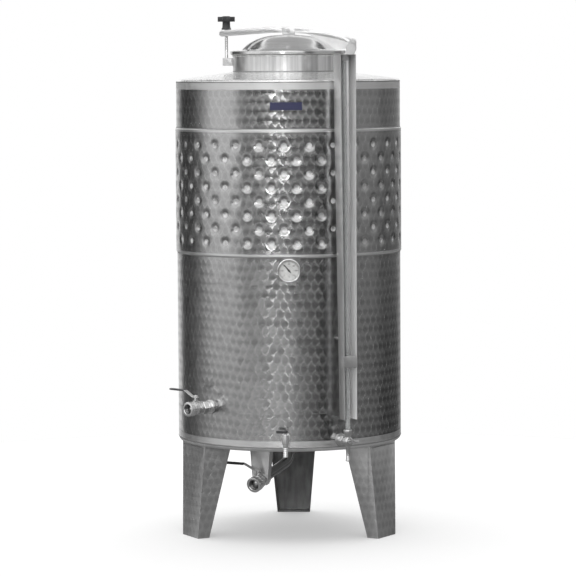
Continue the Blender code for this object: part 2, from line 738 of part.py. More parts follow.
def make_tap():
    frame = port(TAP_AT, WALL_FACE, TAP_HEIGHT)
    boss = 0.0155
    neck = 0.0085
    stem_top = 0.020
    barrel = [(0.0, 0.0), (boss, 0.0), (boss, 0.005), (neck, 0.007), (neck, TAP_REACH), (0.0, TAP_REACH)]
    tap = add_object("sample_tap", turned(barrel, 20), steel, frame)
    head = guide(rod((0.0, -0.018, TAP_REACH), (0.0, 0.014, TAP_REACH), TAP_HEAD_RADIUS, 20), frame)
    spout = guide(rod((0.0, -0.062, TAP_REACH), (0.0, -0.015, TAP_REACH), 0.0068, 16), frame)
    stem = guide(rod((0.0, 0.010, TAP_REACH), (0.0, stem_top, TAP_REACH), 0.005, 12), frame)
    fuse(tap, head, spout, stem)
    pivot = frame @ Matrix.Translation((0.0, stem_top + GAP, TAP_REACH))
    tip = [(-0.028, -0.0045), (-0.031, -0.002), (-0.031, 0.002), (-0.028, 0.0045)]
    outline = arc((0.0, 0.0), 0.008, 90.0, -90.0, 6) + tip
    flat = Matrix.Rotation(radians(-90.0), 4, 'X')
    handle = extruded(outline, 0.0, 0.009)
    add_object("sample_handle", handle, black_plastic, pivot @ flat)


# Sight gauge

def guard_point(height, foot, top):
    share = (height - GUARD_FOOT) / (GUARD_TOP - GUARD_FOOT)
    return foot + (top - foot) * share


def make_guard():
    """A tapered channel, open outwards, on two stand-offs from the shell."""
    turn = wall_frame(GAUGE_AT)
    lip_foot = GUARD_WEB_FOOT + GUARD_DEPTH_FOOT
    lip_top = GUARD_WEB_TOP + GUARD_DEPTH_TOP
    sections = [channel_section(GUARD_WIDTH_FOOT, -GUARD_WEB_FOOT, -lip_foot, GUARD_SHEET, GUARD_FOOT),
                channel_section(GUARD_WIDTH_TOP, -GUARD_WEB_TOP, -lip_top, GUARD_SHEET, GUARD_TOP)]
    guard = add_object("gauge_guard", lofted(sections), polished_steel, turn)
    stand_off_radius = 0.007
    for height in STAND_OFFS:
        web = guard_point(height, GUARD_WEB_FOOT, GUARD_WEB_TOP)
        stand_off = rod((0.0, -WALL_FACE, height), (0.0, -web - 0.001, height), stand_off_radius, 12)
        fuse(guard, guide(stand_off, turn))


def make_gauge_tube():
    turn = wall_frame(GAUGE_AT)
    low = (0.0, -TUBE_REACH_FOOT, GAUGE_VALVE_HEIGHT + GAUGE_CUP_TOP + 0.0005)
    high = (0.0, -TUBE_REACH_TOP, TUBE_TOP)
    add_object("gauge_tube", rod(low, high, TUBE_RADIUS, 16), glass, turn)


def make_gauge_top():
    """A plate on the guard's top end with a boss that holds the glass."""
    turn = wall_frame(GAUGE_AT)
    half = GUARD_WIDTH_TOP / 2
    lip = GUARD_WEB_TOP + GUARD_DEPTH_TOP
    low = GUARD_TOP + GAP
    plate = add_object("gauge_top", box((-half, -lip, low), (half, -GUARD_WEB_TOP, low + SHEET)), steel, turn)
    boss_foot = (0.0, -TUBE_REACH_TOP, TUBE_TOP + 0.0005)
    boss_top = (0.0, -TUBE_REACH_TOP, low + SHEET / 2)
    fuse(plate, guide(rod(boss_foot, boss_top, 0.0125, 20), turn))


def make_gauge_clip():
    """A plate across the guard's lips that keeps the glass in."""
    middle = (CLIP_FOOT + CLIP_TOP) / 2
    web = guard_point(middle, GUARD_WEB_FOOT, GUARD_WEB_TOP)
    depth = guard_point(middle, GUARD_DEPTH_FOOT, GUARD_DEPTH_TOP)
    width = guard_point(middle, GUARD_WIDTH_FOOT, GUARD_WIDTH_TOP)
    lean = (GUARD_WEB_FOOT + GUARD_DEPTH_FOOT - GUARD_WEB_TOP - GUARD_DEPTH_TOP) / (GUARD_TOP - GUARD_FOOT)
    half = (CLIP_TOP - CLIP_FOOT) / 2
    place = wall_frame(GAUGE_AT) @ Matrix.Translation((0.0, -web - depth - GAP, middle))
    place = place @ Matrix.Rotation(-atan2(lean, 1.0), 4, 'X')
    add_object("gauge_clip", box((-width / 2, -0.0015, -half), (width / 2, 0.0, half)), steel, place)


def make_gauge_valve():
    frame = port(GAUGE_AT, WALL_FACE, GAUGE_VALVE_HEIGHT)
    middle = TUBE_REACH_FOOT - WALL_FACE
    end = middle + 0.012
    boss = 0.022
    neck = 0.011
    body = 0.0125
    spout_radius = 0.0078
    barrel = [(0.0, 0.0), (boss, 0.0), (boss, 0.005), (neck, 0.007), (neck, middle - 0.020)]
    barrel += [(body, middle - 0.014), (body + 0.001, middle), (body, middle + 0.010)]
    barrel += [(0.010, end), (0.0, end)]
    valve = add_object("gauge_valve", turned(barrel, 24), steel, frame)
    union = guide(rod((0.0, 0.0, 0.013), (0.0, 0.0, 0.029), 0.0190, 6), frame)
    cup_mouth = 0.0148
    cup = guide(rod((0.0, 0.006, middle), (0.0, GAUGE_CUP_TOP, middle), spout_radius, 20, cup_mouth), frame)
    spout = guide(rod((0.0, -0.068, middle), (0.0, -0.006, middle), spout_radius, 16), frame)
    fuse(valve, union, cup, spout)
    pivot = frame @ Matrix.Translation((0.0, 0.0, end + GAP))
    tip = [(0.012, -0.0035), (0.032, -0.0045), (0.034, 0.0), (0.032, 0.0045), (0.012, 0.0035)]
    outline = arc((0.0, 0.0), 0.0075, 100.0, 260.0, 6) + tip
    add_object("gauge_handle", extruded(outline, 0.0, 0.003), steel, pivot)


def make_manway():
    make_neck()
    make_lid()
    make_arm()
    make_yoke()
    make_hinge_bracket()
    make_clamp_bracket()
    make_swing_bolt()
    make_knob()


def make_gauge():
    make_gauge_valve()
    make_gauge_tube()
    make_guard()
    make_gauge_top()
    make_gauge_clip()


clear_scene()
marbled_steel = material("marbled_steel", (0.42, 0.42, 0.42), 1.0, 0.30)
plain_steel = material("plain_steel", (0.60, 0.60, 0.60), 1.0, 0.28)
polished_steel = material("polished_steel", (0.75, 0.75, 0.75), 1.0, 0.12)
leg_steel = material("leg_steel", (0.38, 0.38, 0.38), 1.0, 0.42)
steel = material("fitting_steel", (0.62, 0.62, 0.61), 1.0, 0.22)
black_plastic = material("black_plastic", (0.03, 0.03, 0.03), 0.0, 0.45)
rubber = material("seal_rubber", (0.75, 0.75, 0.73), 0.0, 0.60)
dial_white = material("dial_white", (0.85, 0.85, 0.83), 0.0, 0.50)
glass = material("gauge_glass", (0.80, 0.82, 0.82), 0.0, 0.05)

tank = bpy.data.objects.new("tank", None)
tank.location = (AXIS_X, AXIS_Y, 0.0)
bpy.context.scene.collection.objects.link(tank)

make_shell()
make_jacket()
make_jacket_sockets()
make_bottom()
make_roof()
make_manway()
make_legs()
make_thermometer()
make_racking_valve()
make_drain()
make_tap()
make_gauge()
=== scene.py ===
import json
from math import atan, copysign, cos, hypot, pi, radians, sin

import bmesh
import bpy
from mathutils import Matrix, Vector

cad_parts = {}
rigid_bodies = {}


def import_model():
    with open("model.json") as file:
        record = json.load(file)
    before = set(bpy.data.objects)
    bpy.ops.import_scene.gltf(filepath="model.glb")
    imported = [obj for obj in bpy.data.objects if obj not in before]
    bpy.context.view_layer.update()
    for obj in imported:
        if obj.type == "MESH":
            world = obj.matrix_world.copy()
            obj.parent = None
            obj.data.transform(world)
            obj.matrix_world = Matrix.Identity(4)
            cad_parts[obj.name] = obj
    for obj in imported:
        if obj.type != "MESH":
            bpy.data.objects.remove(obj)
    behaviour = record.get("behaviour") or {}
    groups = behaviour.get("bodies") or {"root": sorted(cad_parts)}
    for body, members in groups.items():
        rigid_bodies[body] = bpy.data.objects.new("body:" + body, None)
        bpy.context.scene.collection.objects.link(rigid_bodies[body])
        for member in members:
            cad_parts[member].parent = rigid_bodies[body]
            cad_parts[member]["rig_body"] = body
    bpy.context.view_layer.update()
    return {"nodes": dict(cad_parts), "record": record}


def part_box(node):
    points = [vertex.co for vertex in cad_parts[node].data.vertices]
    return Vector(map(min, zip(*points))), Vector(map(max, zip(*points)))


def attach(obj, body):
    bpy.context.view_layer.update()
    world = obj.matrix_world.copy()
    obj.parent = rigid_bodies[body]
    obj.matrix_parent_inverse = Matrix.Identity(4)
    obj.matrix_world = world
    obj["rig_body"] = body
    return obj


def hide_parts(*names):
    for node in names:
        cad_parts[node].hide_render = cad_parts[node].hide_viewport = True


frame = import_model()
slotOfNode = {part["node"]: part["material_slot"] for part in frame["record"]["subparts"]}
neckLow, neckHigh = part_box("manway_neck")
tankAxis = Vector(((neckLow.x + neckHigh.x) / 2, (neckLow.y + neckHigh.y) / 2, 0.0))
onAxis = Matrix.Translation(tankAxis)
print("frame loaded")


def pick(settings, names):
    return [settings[name] for name in names.split()]


# Shader helpers

def newFinish(name, colour, metallic, roughness, anisotropic=0.0):
    finish = bpy.data.materials.new(name)
    finish.use_nodes = True
    shader = finish.node_tree.nodes["Principled BSDF"]
    setInputs(shader, {"Base Color": (*colour, 1.0), "Metallic": metallic, "Roughness": roughness,
                       "Anisotropic": anisotropic})
    return finish, shader, source(finish.node_tree, "TexCoord", "Object")


def setInputs(node, inputs):
    # a socket is linked, and anything else is a fixed value
    for key, value in inputs.items():
        if isinstance(value, bpy.types.NodeSocket):
            node.id_data.links.new(value, node.inputs[key])
        else:
            node.inputs[key].default_value = value


def addNode(kind, inputs, **settings):
    # goes in the tree of the sockets that feed it
    tree = next(value.id_data for value in inputs.values() if isinstance(value, bpy.types.NodeSocket))
    made = tree.nodes.new("ShaderNode" + kind)
    for key, value in settings.items():
        setattr(made, key, value)
    setInputs(made, inputs)
    return made


def source(tree, kind, output):
    return tree.nodes.new("ShaderNode" + kind).outputs[output]


def calc(operation, *values):
    return addNode("Math", dict(enumerate(values)), operation=operation).outputs[0]


def plus(first, second):
    return calc("ADD", first, second)


def minus(first, second):
    return calc("SUBTRACT", first, second)


def times(first, second):
    return calc("MULTIPLY", first, second)


def distance(across, up):
    return calc("SQRT", plus(times(across, across), times(up, up)))


def vectorOf(operation, *values):
    made = addNode("VectorMath", dict(enumerate(values)), operation=operation)
    return made.outputs["Value" if operation == 'DOT_PRODUCT' else "Vector"]


def joinXYZ(x=0.0, y=0.0, z=0.0):
    return addNode("CombineXYZ", {"X": x, "Y": y, "Z": z}).outputs[0]


def spread(value, low, high, fromLow=0.0, fromHigh=1.0):
    return addNode("MapRange", {"Value": value, "From Min": fromLow, "From Max": fromHigh,
                                "To Min": low, "To Max": high}).outputs[0]


def vary(value, low, high):
    # a noise seldom leaves 0.3 to 0.7
    return spread(value, low, high, 0.3, 0.7)


def fade(value, start, stop):
    return addNode("MapRange", {"Value": value, "From Min": start, "From Max": stop},
                   interpolation_type='SMOOTHSTEP').outputs[0]


def choose(share, first, second):
    return addNode("Mix", {"Factor": share, "A": first, "B": second}).outputs[0]


def noise(coords, scale, detail=3.0, stretch=(1.0, 1.0, 1.0)):
    coords = addNode("Mapping", {"Vector": coords, "Scale": stretch}).outputs[0]
    return addNode("TexNoise", {"Vector": coords, "Scale": scale, "Detail": detail}).outputs["Fac"]


def grey(value):
    return addNode("CombineColor", {"Red": value, "Green": value, "Blue": value}).outputs[0]


def bump(height, depth):
    return addNode("Bump", {"Height": height, "Distance": depth}).outputs[0]


# Finishes

# face is where pieces meet the wall, a hair outside the shell and its jacket
shell = dict(
    radius=0.39, face=0.3903, wall=0.002, low=0.3343, high=1.5697,
    lowerBand=0.356, jacketLow=0.99, jacketHigh=1.4, upperBand=1.545, sides=240,
)
jacket = dict(
    low=0.98, high=1.411, skin=0.3935, lip=0.0006, edge=0.003, plainEdge=0.009,
    rows=8, firstRow=1.357, rowPitch=0.047, columns=29, phase=6.0,
    bowl=0.02, rim=0.0025, depth=0.0028, curve=1.4, pillow=0.0004, pillowReach=0.045,
    # the weld spot's light tone is a real matt weld and partly a painted highlight
    spot=0.0096, weldHighlightTone=0.9, spotGloss=0.5, sides=696, rings=126,
)
marbling = dict(
    spotRadius=0.028, columns=188, rowPitch=0.031, firstRow=0.356, wander=0.0012,
    brushLines=1400.0, lineSeeds=60.0, dish=0.2, tilt=0.0134,
    toneVariety=0.03, glossVariety=0.02, lineTone=0.05,
    # where each visible patch sits, and the gain of the painted highlight at its edges
    patchAside=0.015, patchWide=0.011, patchDrop=0.0025, patchTall=0.012, edgeHighlightGain=0.07,
)


def spotFamily(around, height, column):
    # the topmost spot of every other column that covers a point, and the point's place in it
    pitch = 2 * pi * shell["radius"] / marbling["columns"]
    rowPitch = marbling["rowPitch"]
    up = calc("WRAP", minus(height, column * rowPitch), rowPitch, -rowPitch)
    chord = minus(marbling["spotRadius"] ** 2, times(up, up))
    half = calc("SQRT", calc("MAXIMUM", chord, 0.0))
    reached = plus(minus(around, column * pitch), half)
    index = calc("FLOOR", calc("DIVIDE", reached, 2 * pitch))
    middle = plus(times(index, 2 * pitch), column * pitch)
    along = minus(around, middle)
    # always above 0 where the spot covers the point
    rank = times(calc("LESS_THAN", along, half), plus(middle, 10.0))
    return along, up, rank


def weldAndHighlightMask(x, backwards, z):
    # 1 on the matt spot weld in the middle of each dimple, whose light tone is partly a painted highlight
    pitch = 2 * pi / jacket["columns"]
    phase = radians(jacket["phase"])
    drop = calc("DIVIDE", minus(jacket["firstRow"], z), jacket["rowPitch"])
    row = calc("ROUND", drop)
    up = times(minus(row, drop), jacket["rowPitch"])
    shift = spread(calc("FLOORED_MODULO", row, 2.0), phase + pitch / 2, phase)
    aside = minus(calc("ARCTAN2", x, backwards), shift)
    aside = times(calc("WRAP", aside, pitch / 2, -pitch / 2), jacket["skin"])
    spot = jacket["spot"]
    spot = minus(1.0, fade(distance(aside, up), spot - 0.003, spot + 0.002))
    middle = (jacket["rows"] - 1) / 2
    fromMiddle = calc("ABSOLUTE", minus(drop, middle))
    return times(spot, calc("LESS_THAN", fromMiddle, middle + 0.5))


def makeMarbledSteel(name, tone, roughness, anisotropic, flat=False, welded=False):
    # staggered columns of abrasive spots, each over the ones to its left, brushed in circles;
    # round the tank's axis, or flat on each face
    finish, shader, coords = newFinish(name, [tone] * 3, 1.0, roughness, anisotropic)
    x, y, z = addNode("SeparateXYZ", {"Vector": coords}).outputs
    outward = source(shader.id_data, "NewGeometry", "True Normal") if flat else joinXYZ(x, y)
    sideways = vectorOf('NORMALIZE', vectorOf('CROSS_PRODUCT', (0.0, 0.0, 1.0), outward))
    if flat:
        around = vectorOf('DOT_PRODUCT', coords, sideways)
    else:
        backwards = times(y, -1.0)
        around = times(calc("ARCTAN2", x, backwards), shell["radius"])
    height = minus(z, marbling["firstRow"])
    evenAlong, evenUp, evenRank = spotFamily(around, height, 0)
    oddAlong, oddUp, oddRank = spotFamily(around, height, 1)
    odd = calc("GREATER_THAN", oddRank, evenRank)
    along = choose(odd, evenAlong, oddAlong)
    up = choose(odd, evenUp, oddUp)
    spotPlace = joinXYZ(minus(around, along), minus(height, up))
    spotNumber = vectorOf('SNAP', spotPlace, [0.001] * 3)
    chance = addNode("TexWhiteNoise", {"Vector": spotNumber}, noise_dimensions='2D')
    shake = addNode("SeparateColor", {"Color": chance.outputs["Color"]}).outputs
    wander, tilt, toneShift, glossShift, lineTone = pick(
        marbling, "wander tilt toneVariety glossVariety lineTone")
    along = plus(along, spread(shake[0], -wander, wander))
    up = plus(up, spread(shake[1], -wander, wander))
    fromMiddle = distance(along, up)
    # highlights stretch across the brush lines, so the tangent points from the spot's middle
    level = addNode("VectorMath", {0: sideways, "Scale": along}, operation='SCALE').outputs[0]
    tangent = vectorOf('NORMALIZE', vectorOf('ADD', level, joinXYZ(z=up)))
    ring = joinXYZ(times(fromMiddle, marbling["brushLines"]), times(shake[2], marbling["lineSeeds"]))
    lines = addNode("TexNoise", {"Vector": ring, "Scale": 1.0, "Detail": 2.0}).outputs["Fac"]
    # painted highlight: each visible patch of a spot is painted lighter towards its edges than in its middle
    aside = calc("DIVIDE", plus(along, marbling["patchAside"]), marbling["patchWide"])
    rise = calc("DIVIDE", plus(up, marbling["patchDrop"]), marbling["patchTall"])
    edgeHighlight = times(fade(distance(aside, rise), 0.6, 1.15), marbling["edgeHighlightGain"])
    shade = spread(chance.outputs["Value"], tone - toneShift, tone + toneShift)
    shade = plus(plus(shade, vary(lines, -lineTone, lineTone)), edgeHighlight)
    gloss = spread(shake[2], roughness - glossShift, roughness + glossShift)
    gloss = plus(gloss, vary(lines, -glossShift, glossShift * 1.5))
    # on the jacket the spot weld is painted light and matt: a real weld, and partly a painted highlight for
    # the bright dimples
    if welded:
        spot = weldAndHighlightMask(x, backwards, z)
        shade = choose(spot, shade, jacket["weldHighlightTone"])
        gloss = choose(spot, gloss, jacket["spotGloss"])
    # each spot is dished and leans a little its own way
    dish = times(times(fromMiddle, fromMiddle), marbling["dish"])
    lean = plus(times(along, spread(shake[1], -tilt, tilt)), times(up, spread(shake[0], -tilt, tilt)))
    setInputs(shader, {"Base Color": grey(shade), "Roughness": gloss, "Tangent": tangent,
                       "Normal": bump(plus(dish, lean), 1.0)})
    return finish


def makeSteel(name, tone, roughness, anisotropic=0.0, stretch=(1.0, 1.0, 1.0), scale=60.0,
              depth=0.00004, streakTone=0.03, smudge=0.05, around=False):
    # rolled or turned steel: fine streaks, slow smudges and a little variation in gloss
    finish, shader, coords = newFinish(name, [tone] * 3, 1.0, roughness, anisotropic)
    lines = noise(coords, scale, 4.0, stretch)
    cloud = noise(coords, 7.0)
    mottle = noise(coords, 45.0, 2.0)
    shade = plus(vary(cloud, tone - smudge, tone + smudge), vary(lines, -streakTone, streakTone))
    gloss = plus(vary(mottle, roughness * 0.85, roughness * 1.2), vary(lines, -0.03, 0.03))
    setInputs(shader, {"Base Color": grey(shade), "Roughness": gloss, "Normal": bump(lines, depth)})
    if around:
        tangent = source(shader.id_data, "Tangent", 0)
        tangent.node.direction_type = 'RADIAL'
        setInputs(shader, {"Tangent": tangent, "Anisotropic Rotation": 0.25})
    return finish


def makePlastic(name, colour, roughness, grain=0.00003):
    finish, shader, coords = newFinish(name, colour, 0.0, roughness)
    pores = noise(coords, 900.0, 2.0)
    wear = noise(coords, 60.0)
    worn = [part * 1.6 + 0.01 for part in colour]
    mix = addNode("Mix", {"Factor": spread(wear, 0.0, 0.35, 0.45, 0.75), "A": (*colour, 1.0),
                          "B": (*worn, 1.0)}, data_type='RGBA')
    setInputs(shader, {"Base Color": mix.outputs["Result"], "Normal": bump(pores, grain),
                       "Roughness": vary(wear, roughness * 0.8, roughness * 1.25)})
    return finish


def makeFilm(name, tone, roughness):
    # steel under a dulling protective film
    finish, shader, coords = newFinish(name, [tone] * 3, 0.2, roughness)
    cloud = noise(coords, 60.0, 3.0, (1.0, 1.0, 0.12))
    setInputs(shader, {"Base Color": grey(spread(cloud, tone - 0.1, tone + 0.04, 0.35, 0.65))})
    return finish


def makeGlass(name, colour, roughness, clearness):
    finish, shader, coords = newFinish(name, colour, 0.0, roughness)
    bloom = spread(noise(coords, 30.0), roughness * 0.5, roughness * 2.5, 0.35, 0.7)
    setInputs(shader, {"Transmission Weight": clearness, "IOR": 1.47, "Roughness": bloom})
    return finish


# streaks that run level round the tank, and upright ones
roundTank = (0.04, 0.04, 1.0)
upAndDown = (1.0, 1.0, 0.03)
steels = dict(
    plain=dict(tone=0.84, roughness=0.35, stretch=roundTank, scale=300.0, depth=0.000002),
    band=dict(tone=0.86, roughness=0.5, stretch=roundTank, scale=300.0, depth=0.00001),
    neck=dict(tone=0.8, roughness=0.38, anisotropic=0.5, stretch=upAndDown, scale=70.0, depth=0.0001,
              streakTone=0.2, smudge=0.08, around=True),
    arm=dict(tone=0.75, roughness=0.34, depth=0.00002),
    roof=dict(tone=0.95, roughness=0.24, anisotropic=0.4, around=True),
    dome=dict(tone=0.76, roughness=0.17, anisotropic=0.9, stretch=roundTank, scale=200.0, depth=0.00001,
              around=True),
    polished=dict(tone=0.8, roughness=0.13, scale=90.0, depth=0.00001, smudge=0.03),
    # a dark copy of the leg steel, painted shade for the inner side of the back leg
    legBack=dict(tone=0.15, roughness=0.42, stretch=(1.0, 1.0, 0.2), scale=80.0),
    guard=dict(tone=0.68, roughness=0.38, stretch=upAndDown, scale=160.0),
    fitting=dict(tone=0.84, roughness=0.24, scale=240.0),
    # pipe: a dark copy of the steel, a painted dark reflection on the drain pipe and painted shade at the
    # back of the gauge guard
    pipe=dict(tone=0.3, roughness=0.2, scale=160.0),
    satin=dict(tone=0.92, roughness=0.34, scale=160.0),
    union=dict(tone=0.66, roughness=0.34, scale=160.0),
    # bore: a dark copy of the fitting steel, painted shade inside the valves' bores
    bore=dict(tone=0.26, roughness=0.34, scale=160.0),
    bright=dict(tone=0.66, roughness=0.46, scale=120.0),
    strap=dict(tone=0.95, roughness=0.42, scale=120.0),
    weld=dict(tone=0.42, roughness=0.48, scale=500.0, depth=0.0001),
)
finishes = {steel: makeSteel(steel + "Steel", **settings) for steel, settings in steels.items()}
finishes.update({
    "marbled": makeMarbledSteel("marbledSteel", 0.46, 0.17, 0.9),
    "jacket": makeMarbledSteel("jacketSteel", 0.46, 0.18, 0.8, welded=True),
    "leg": makeMarbledSteel("legSteel", 0.6, 0.4, 0.34, flat=True),
    "film": makeFilm("guardFilm", 0.8, 0.45),
    "glass": makeGlass("gaugeGlass", (0.78, 0.79, 0.79), 0.04, 0.72),
    "black": makePlastic("blackPlastic", (0.042, 0.042, 0.044), 0.42),
    "seal": makePlastic("sealRubber", (0.62, 0.62, 0.6), 0.6),
    "dial": makePlastic("dialWhite", (0.64, 0.64, 0.63), 0.45, 0.0),
    "ink": makePlastic("dialInk", (0.02, 0.02, 0.02), 0.5, 0.0),
    "blue": makePlastic("labelBlue", (0.03, 0.032, 0.085), 0.45, 0.0),
})
print("finishes ready")


# Mesh helpers

def turned(degrees, axis='Z'):
    return Matrix.Rotation(radians(degrees), 4, axis)


def shifted(x, y, z):
    return Matrix.Translation((x, y, z))


upright = turned(-90.0, 'X')


def wallPlace(azimuth, reach, height, tilt=0.0):
    # +Z out of the wall, +Y up, +X to the right
    return onAxis @ turned(azimuth) @ shifted(0.0, -reach, height) @ turned(90.0 + tilt, 'X')


def onWall(radius, angle, height):
    return radius * sin(angle), -radius * cos(angle), height


def arc(x, y, wide, high, first, last, step):
    # (x, y) points on part of an ellipse, from first to last degrees
    return [(x + wide * cos(radians(a)), y + high * sin(radians(a)))
            for a in range(first, last + (1 if step > 0 else -1), step)]


def addObject(name, data):
    made = bpy.data.objects.new(name, data)
    bpy.context.scene.collection.objects.link(made)
    return made


def finishPiece(name, mesh, place, finish, body, slot, nodes=(), bevel=0.0, sharp=35.0):
    # finish holds one name, or more with spaces between them
    mesh.name = name
    mesh.shade_smooth()
    if bevel == 0.0:
        mesh.set_sharp_from_angle(angle=radians(sharp))
    for one in finish.split():
        mesh.materials.append(finishes[one])
    piece = addObject(name, mesh)
    piece.matrix_world = place
    if bevel > 0.0:
        soft = piece.modifiers.new("softEdges", 'BEVEL')
        soft.width = bevel
        soft.segments = 2
        soft.limit_method = 'ANGLE'
        soft.angle_limit = radians(sharp)
        soft.harden_normals = True
    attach(piece, body)
    if nodes:
        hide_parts(*nodes)
    return piece


def replaceNode(node, mesh, place, finish, name=None, **edges):
    # the piece keeps the body of the solid that it stands for
    body = frame["nodes"][node]["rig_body"]
    return finishPiece(name or node + "_skin", mesh, place, finish, body, slotOfNode[node], [node], **edges)


def meshFrom(bm):
    bmesh.ops.recalc_face_normals(bm, faces=bm.faces)
    mesh = bpy.data.meshes.new("part")
    bm.to_mesh(mesh)
    bm.free()
    return mesh


def dressNode(node, finish, bevel=0.0006):
    # a clean, soft-edged copy of a solid that already has the right shape
    bm = bmesh.new()
    bm.from_mesh(frame["nodes"][node].data)
    bmesh.ops.remove_doubles(bm, verts=bm.verts, dist=1e-5)
    bmesh.ops.dissolve_limit(bm, angle_limit=radians(0.3), verts=bm.verts, edges=bm.edges)
    for layer in list(bm.loops.layers.float_vector.values()):
        bm.loops.layers.float_vector.remove(layer)
    return replaceNode(node, meshFrom(bm), Matrix.Identity(4), finish, bevel=bevel, sharp=32.0)


def turnedMesh(outline, sides=192):
    # spins an outline of (radius, height) points about Z and closes it
    bm = bmesh.new()
    points = [bm.verts.new((radius, 0.0, height)) for radius, height in outline]
    pairs = list(zip(points, points[1:]))
    if outline[0][0] > 0.0 or outline[-1][0] > 0.0:
        pairs.append((points[-1], points[0]))
    edges = [bm.edges.new(pair) for pair in pairs]
    bmesh.ops.spin(bm, geom=points + edges, cent=(0, 0, 0), axis=(0, 0, 1), angle=2 * pi, steps=sides)
    bmesh.ops.remove_doubles(bm, verts=bm.verts, dist=1e-6)
    return meshFrom(bm)


def solidMesh(outline, sides=48):
    # as turnedMesh, with flat ends that reach the axis
    return turnedMesh([(0.0, outline[0][1])] + outline + [(0.0, outline[-1][1])], sides)


def softRod(radius, low, high, edge=0.0006, sides=48):
    return solidMesh([(radius - edge, low), (radius, low + edge), (radius, high - edge),
                      (radius - edge, high)], sides)


def hexMesh(radius, low, high, chamfer=0.0008):
    return softRod(radius, low, high, chamfer, 6)


def threaded(radius, low, high, pitch, depth):
    # outline points of a screw thread, as rings
    points = []
    turns = max(1, round((high - low) / pitch))
    for turn in range(turns):
        foot = low + (high - low) * turn / turns
        points += [(radius - depth, foot), (radius, foot + pitch * 0.35), (radius, foot + pitch * 0.65)]
    return points + [(radius - depth, high)]


def ringMesh(rings, sides, shape=None):
    # a closed tube through (radius, height) rings; shape may change a radius by its angle and height
    verts = []
    for radius, height in rings:
        for step in range(sides):
            angle = 2 * pi * step / sides
            verts.append(onWall(shape(radius, angle, height) if shape else radius, angle, height))
    faces = []
    for ring in range(len(rings)):
        low = ring * sides
        high = (ring + 1) % len(rings) * sides
        for step in range(sides):
            after = (step + 1) % sides
            faces.append((low + step, low + after, high + after, high + step))
    mesh = bpy.data.meshes.new("part")
    mesh.from_pydata(verts, [], faces)
    mesh.validate()
    return mesh


def loftMesh(rings):
    # skins rings of equal length and closes both ends
    bm = bmesh.new()
    loops = [[bm.verts.new(point) for point in ring] for ring in rings]
    bm.faces.new(loops[0])
    bm.faces.new(loops[-1])
    for low, high in zip(loops, loops[1:]):
        for index in range(len(low)):
            after = (index + 1) % len(low)
            bm.faces.new((low[index], low[after], high[after], high[index]))
    return meshFrom(bm)


def plateMesh(outline, low, high, soft=0.0003):
    # an outline of (x, y) points as a plate along Z, with softened rims
    middleX = sum(x for x, y in outline) / len(outline)
    middleY = sum(y for x, y in outline) / len(outline)
    shrink = 1.0 - soft / max(hypot(x - middleX, y - middleY) for x, y in outline)
    inset = [(middleX + (x - middleX) * shrink, middleY + (y - middleY) * shrink) for x, y in outline]
    return loftMesh([[(x, y, height) for x, y in ring] for ring, height in
                     ((inset, low), (outline, low + soft), (outline, high - soft), (inset, high))])


def tubeMesh(route, radius, sides=40):
    # a round bar along a planar route of points
    rings = []
    side = (route[-1] - route[0]).cross(Vector((0.0, 0.0, 1.0))).normalized()
    angles = [2 * pi * step / sides for step in range(sides)]
    for index, point in enumerate(route):
        heading = (route[min(index + 1, len(route) - 1)] - route[max(index - 1, 0)]).normalized()
        up = side.cross(heading).normalized()
        rings.append([point + side * radius * cos(angle) + up * radius * sin(angle) for angle in angles])
    return loftMesh(rings)


def moved(mesh, place):
    mesh.transform(place)
    return mesh


def joined(*meshes):
    bm = bmesh.new()
    for mesh in meshes:
        bm.from_mesh(mesh)
        bpy.data.meshes.remove(mesh)
    return meshFrom(bm)


# Shell

def makeShell():
    outer = shell["radius"]
    inner = outer - shell["wall"]
    heights = pick(shell, "low lowerBand jacketLow jacketHigh upperBand high")
    rings = [(inner, shell["low"])] + [(outer, height) for height in heights] + [(inner, shell["high"])]
    mesh = ringMesh(rings, shell["sides"])
    for face in mesh.polygons:
        face.material_index = (1, 1, 0, 1, 0, 2, 2, 1)[face.index // shell["sides"]]
    panels = [f"shell_panel_{index}" for index in range(1, 9)]
    finishPiece("shell_skin", mesh, onAxis, "marbled plain band", "tank", "marbled_steel", panels)


# Dimpled jacket

def nearestWeld(angle, height):
    row = round((jacket["firstRow"] - height) / jacket["rowPitch"])
    pitch = 2 * pi / jacket["columns"]
    nearest = 1.0
    for near in (row - 1, row, row + 1):
        if 0 <= near < jacket["rows"]:
            shift = radians(jacket["phase"]) + (pitch / 2 if near % 2 == 0 else 0.0)
            aside = (angle - shift + pitch / 2) % pitch - pitch / 2
            up = height - (jacket["firstRow"] - near * jacket["rowPitch"])
            nearest = min(nearest, hypot(aside * jacket["skin"], up))
    return nearest


def jacketRadius(radius, angle, height):
    # a shallow bowl with a soft rim round each weld, in sheet that the pressure has pillowed
    if radius < jacket["skin"]:
        return radius
    away = nearestWeld(angle, height)
    inside = jacket["depth"] * (1.0 - (away / jacket["bowl"]) ** jacket["curve"])
    soft = jacket["rim"] * jacket["depth"] / jacket["bowl"]
    inside = 0.5 * (inside + hypot(inside, soft))
    pillow = jacket["pillow"] * max(0.0, 1.0 - away / jacket["pillowReach"]) ** 2
    return radius - inside - pillow


def makeJacket():
    low, high, edge, steps = pick(jacket, "low high edge rings")
    inner = shell["face"]
    lip = inner + jacket["lip"]
    heights = [low + edge + (high - low - 2 * edge) * step / steps for step in range(steps + 1)]
    rings = [(inner, low), (lip, low)] + [(jacket["skin"], height) for height in heights]
    mesh = ringMesh(rings + [(lip, high), (inner, high)], jacket["sides"], jacketRadius)
    for face in mesh.polygons:
        inset = min(face.center.z - low, high - face.center.z)
        face.material_index = 1 if inset < jacket["plainEdge"] else 0
    replaceNode("cooling_jacket", mesh, onAxis, "jacket plain", "jacket_skin")


# Weld beads round the tank: radius, height, width, rise and number of ripples

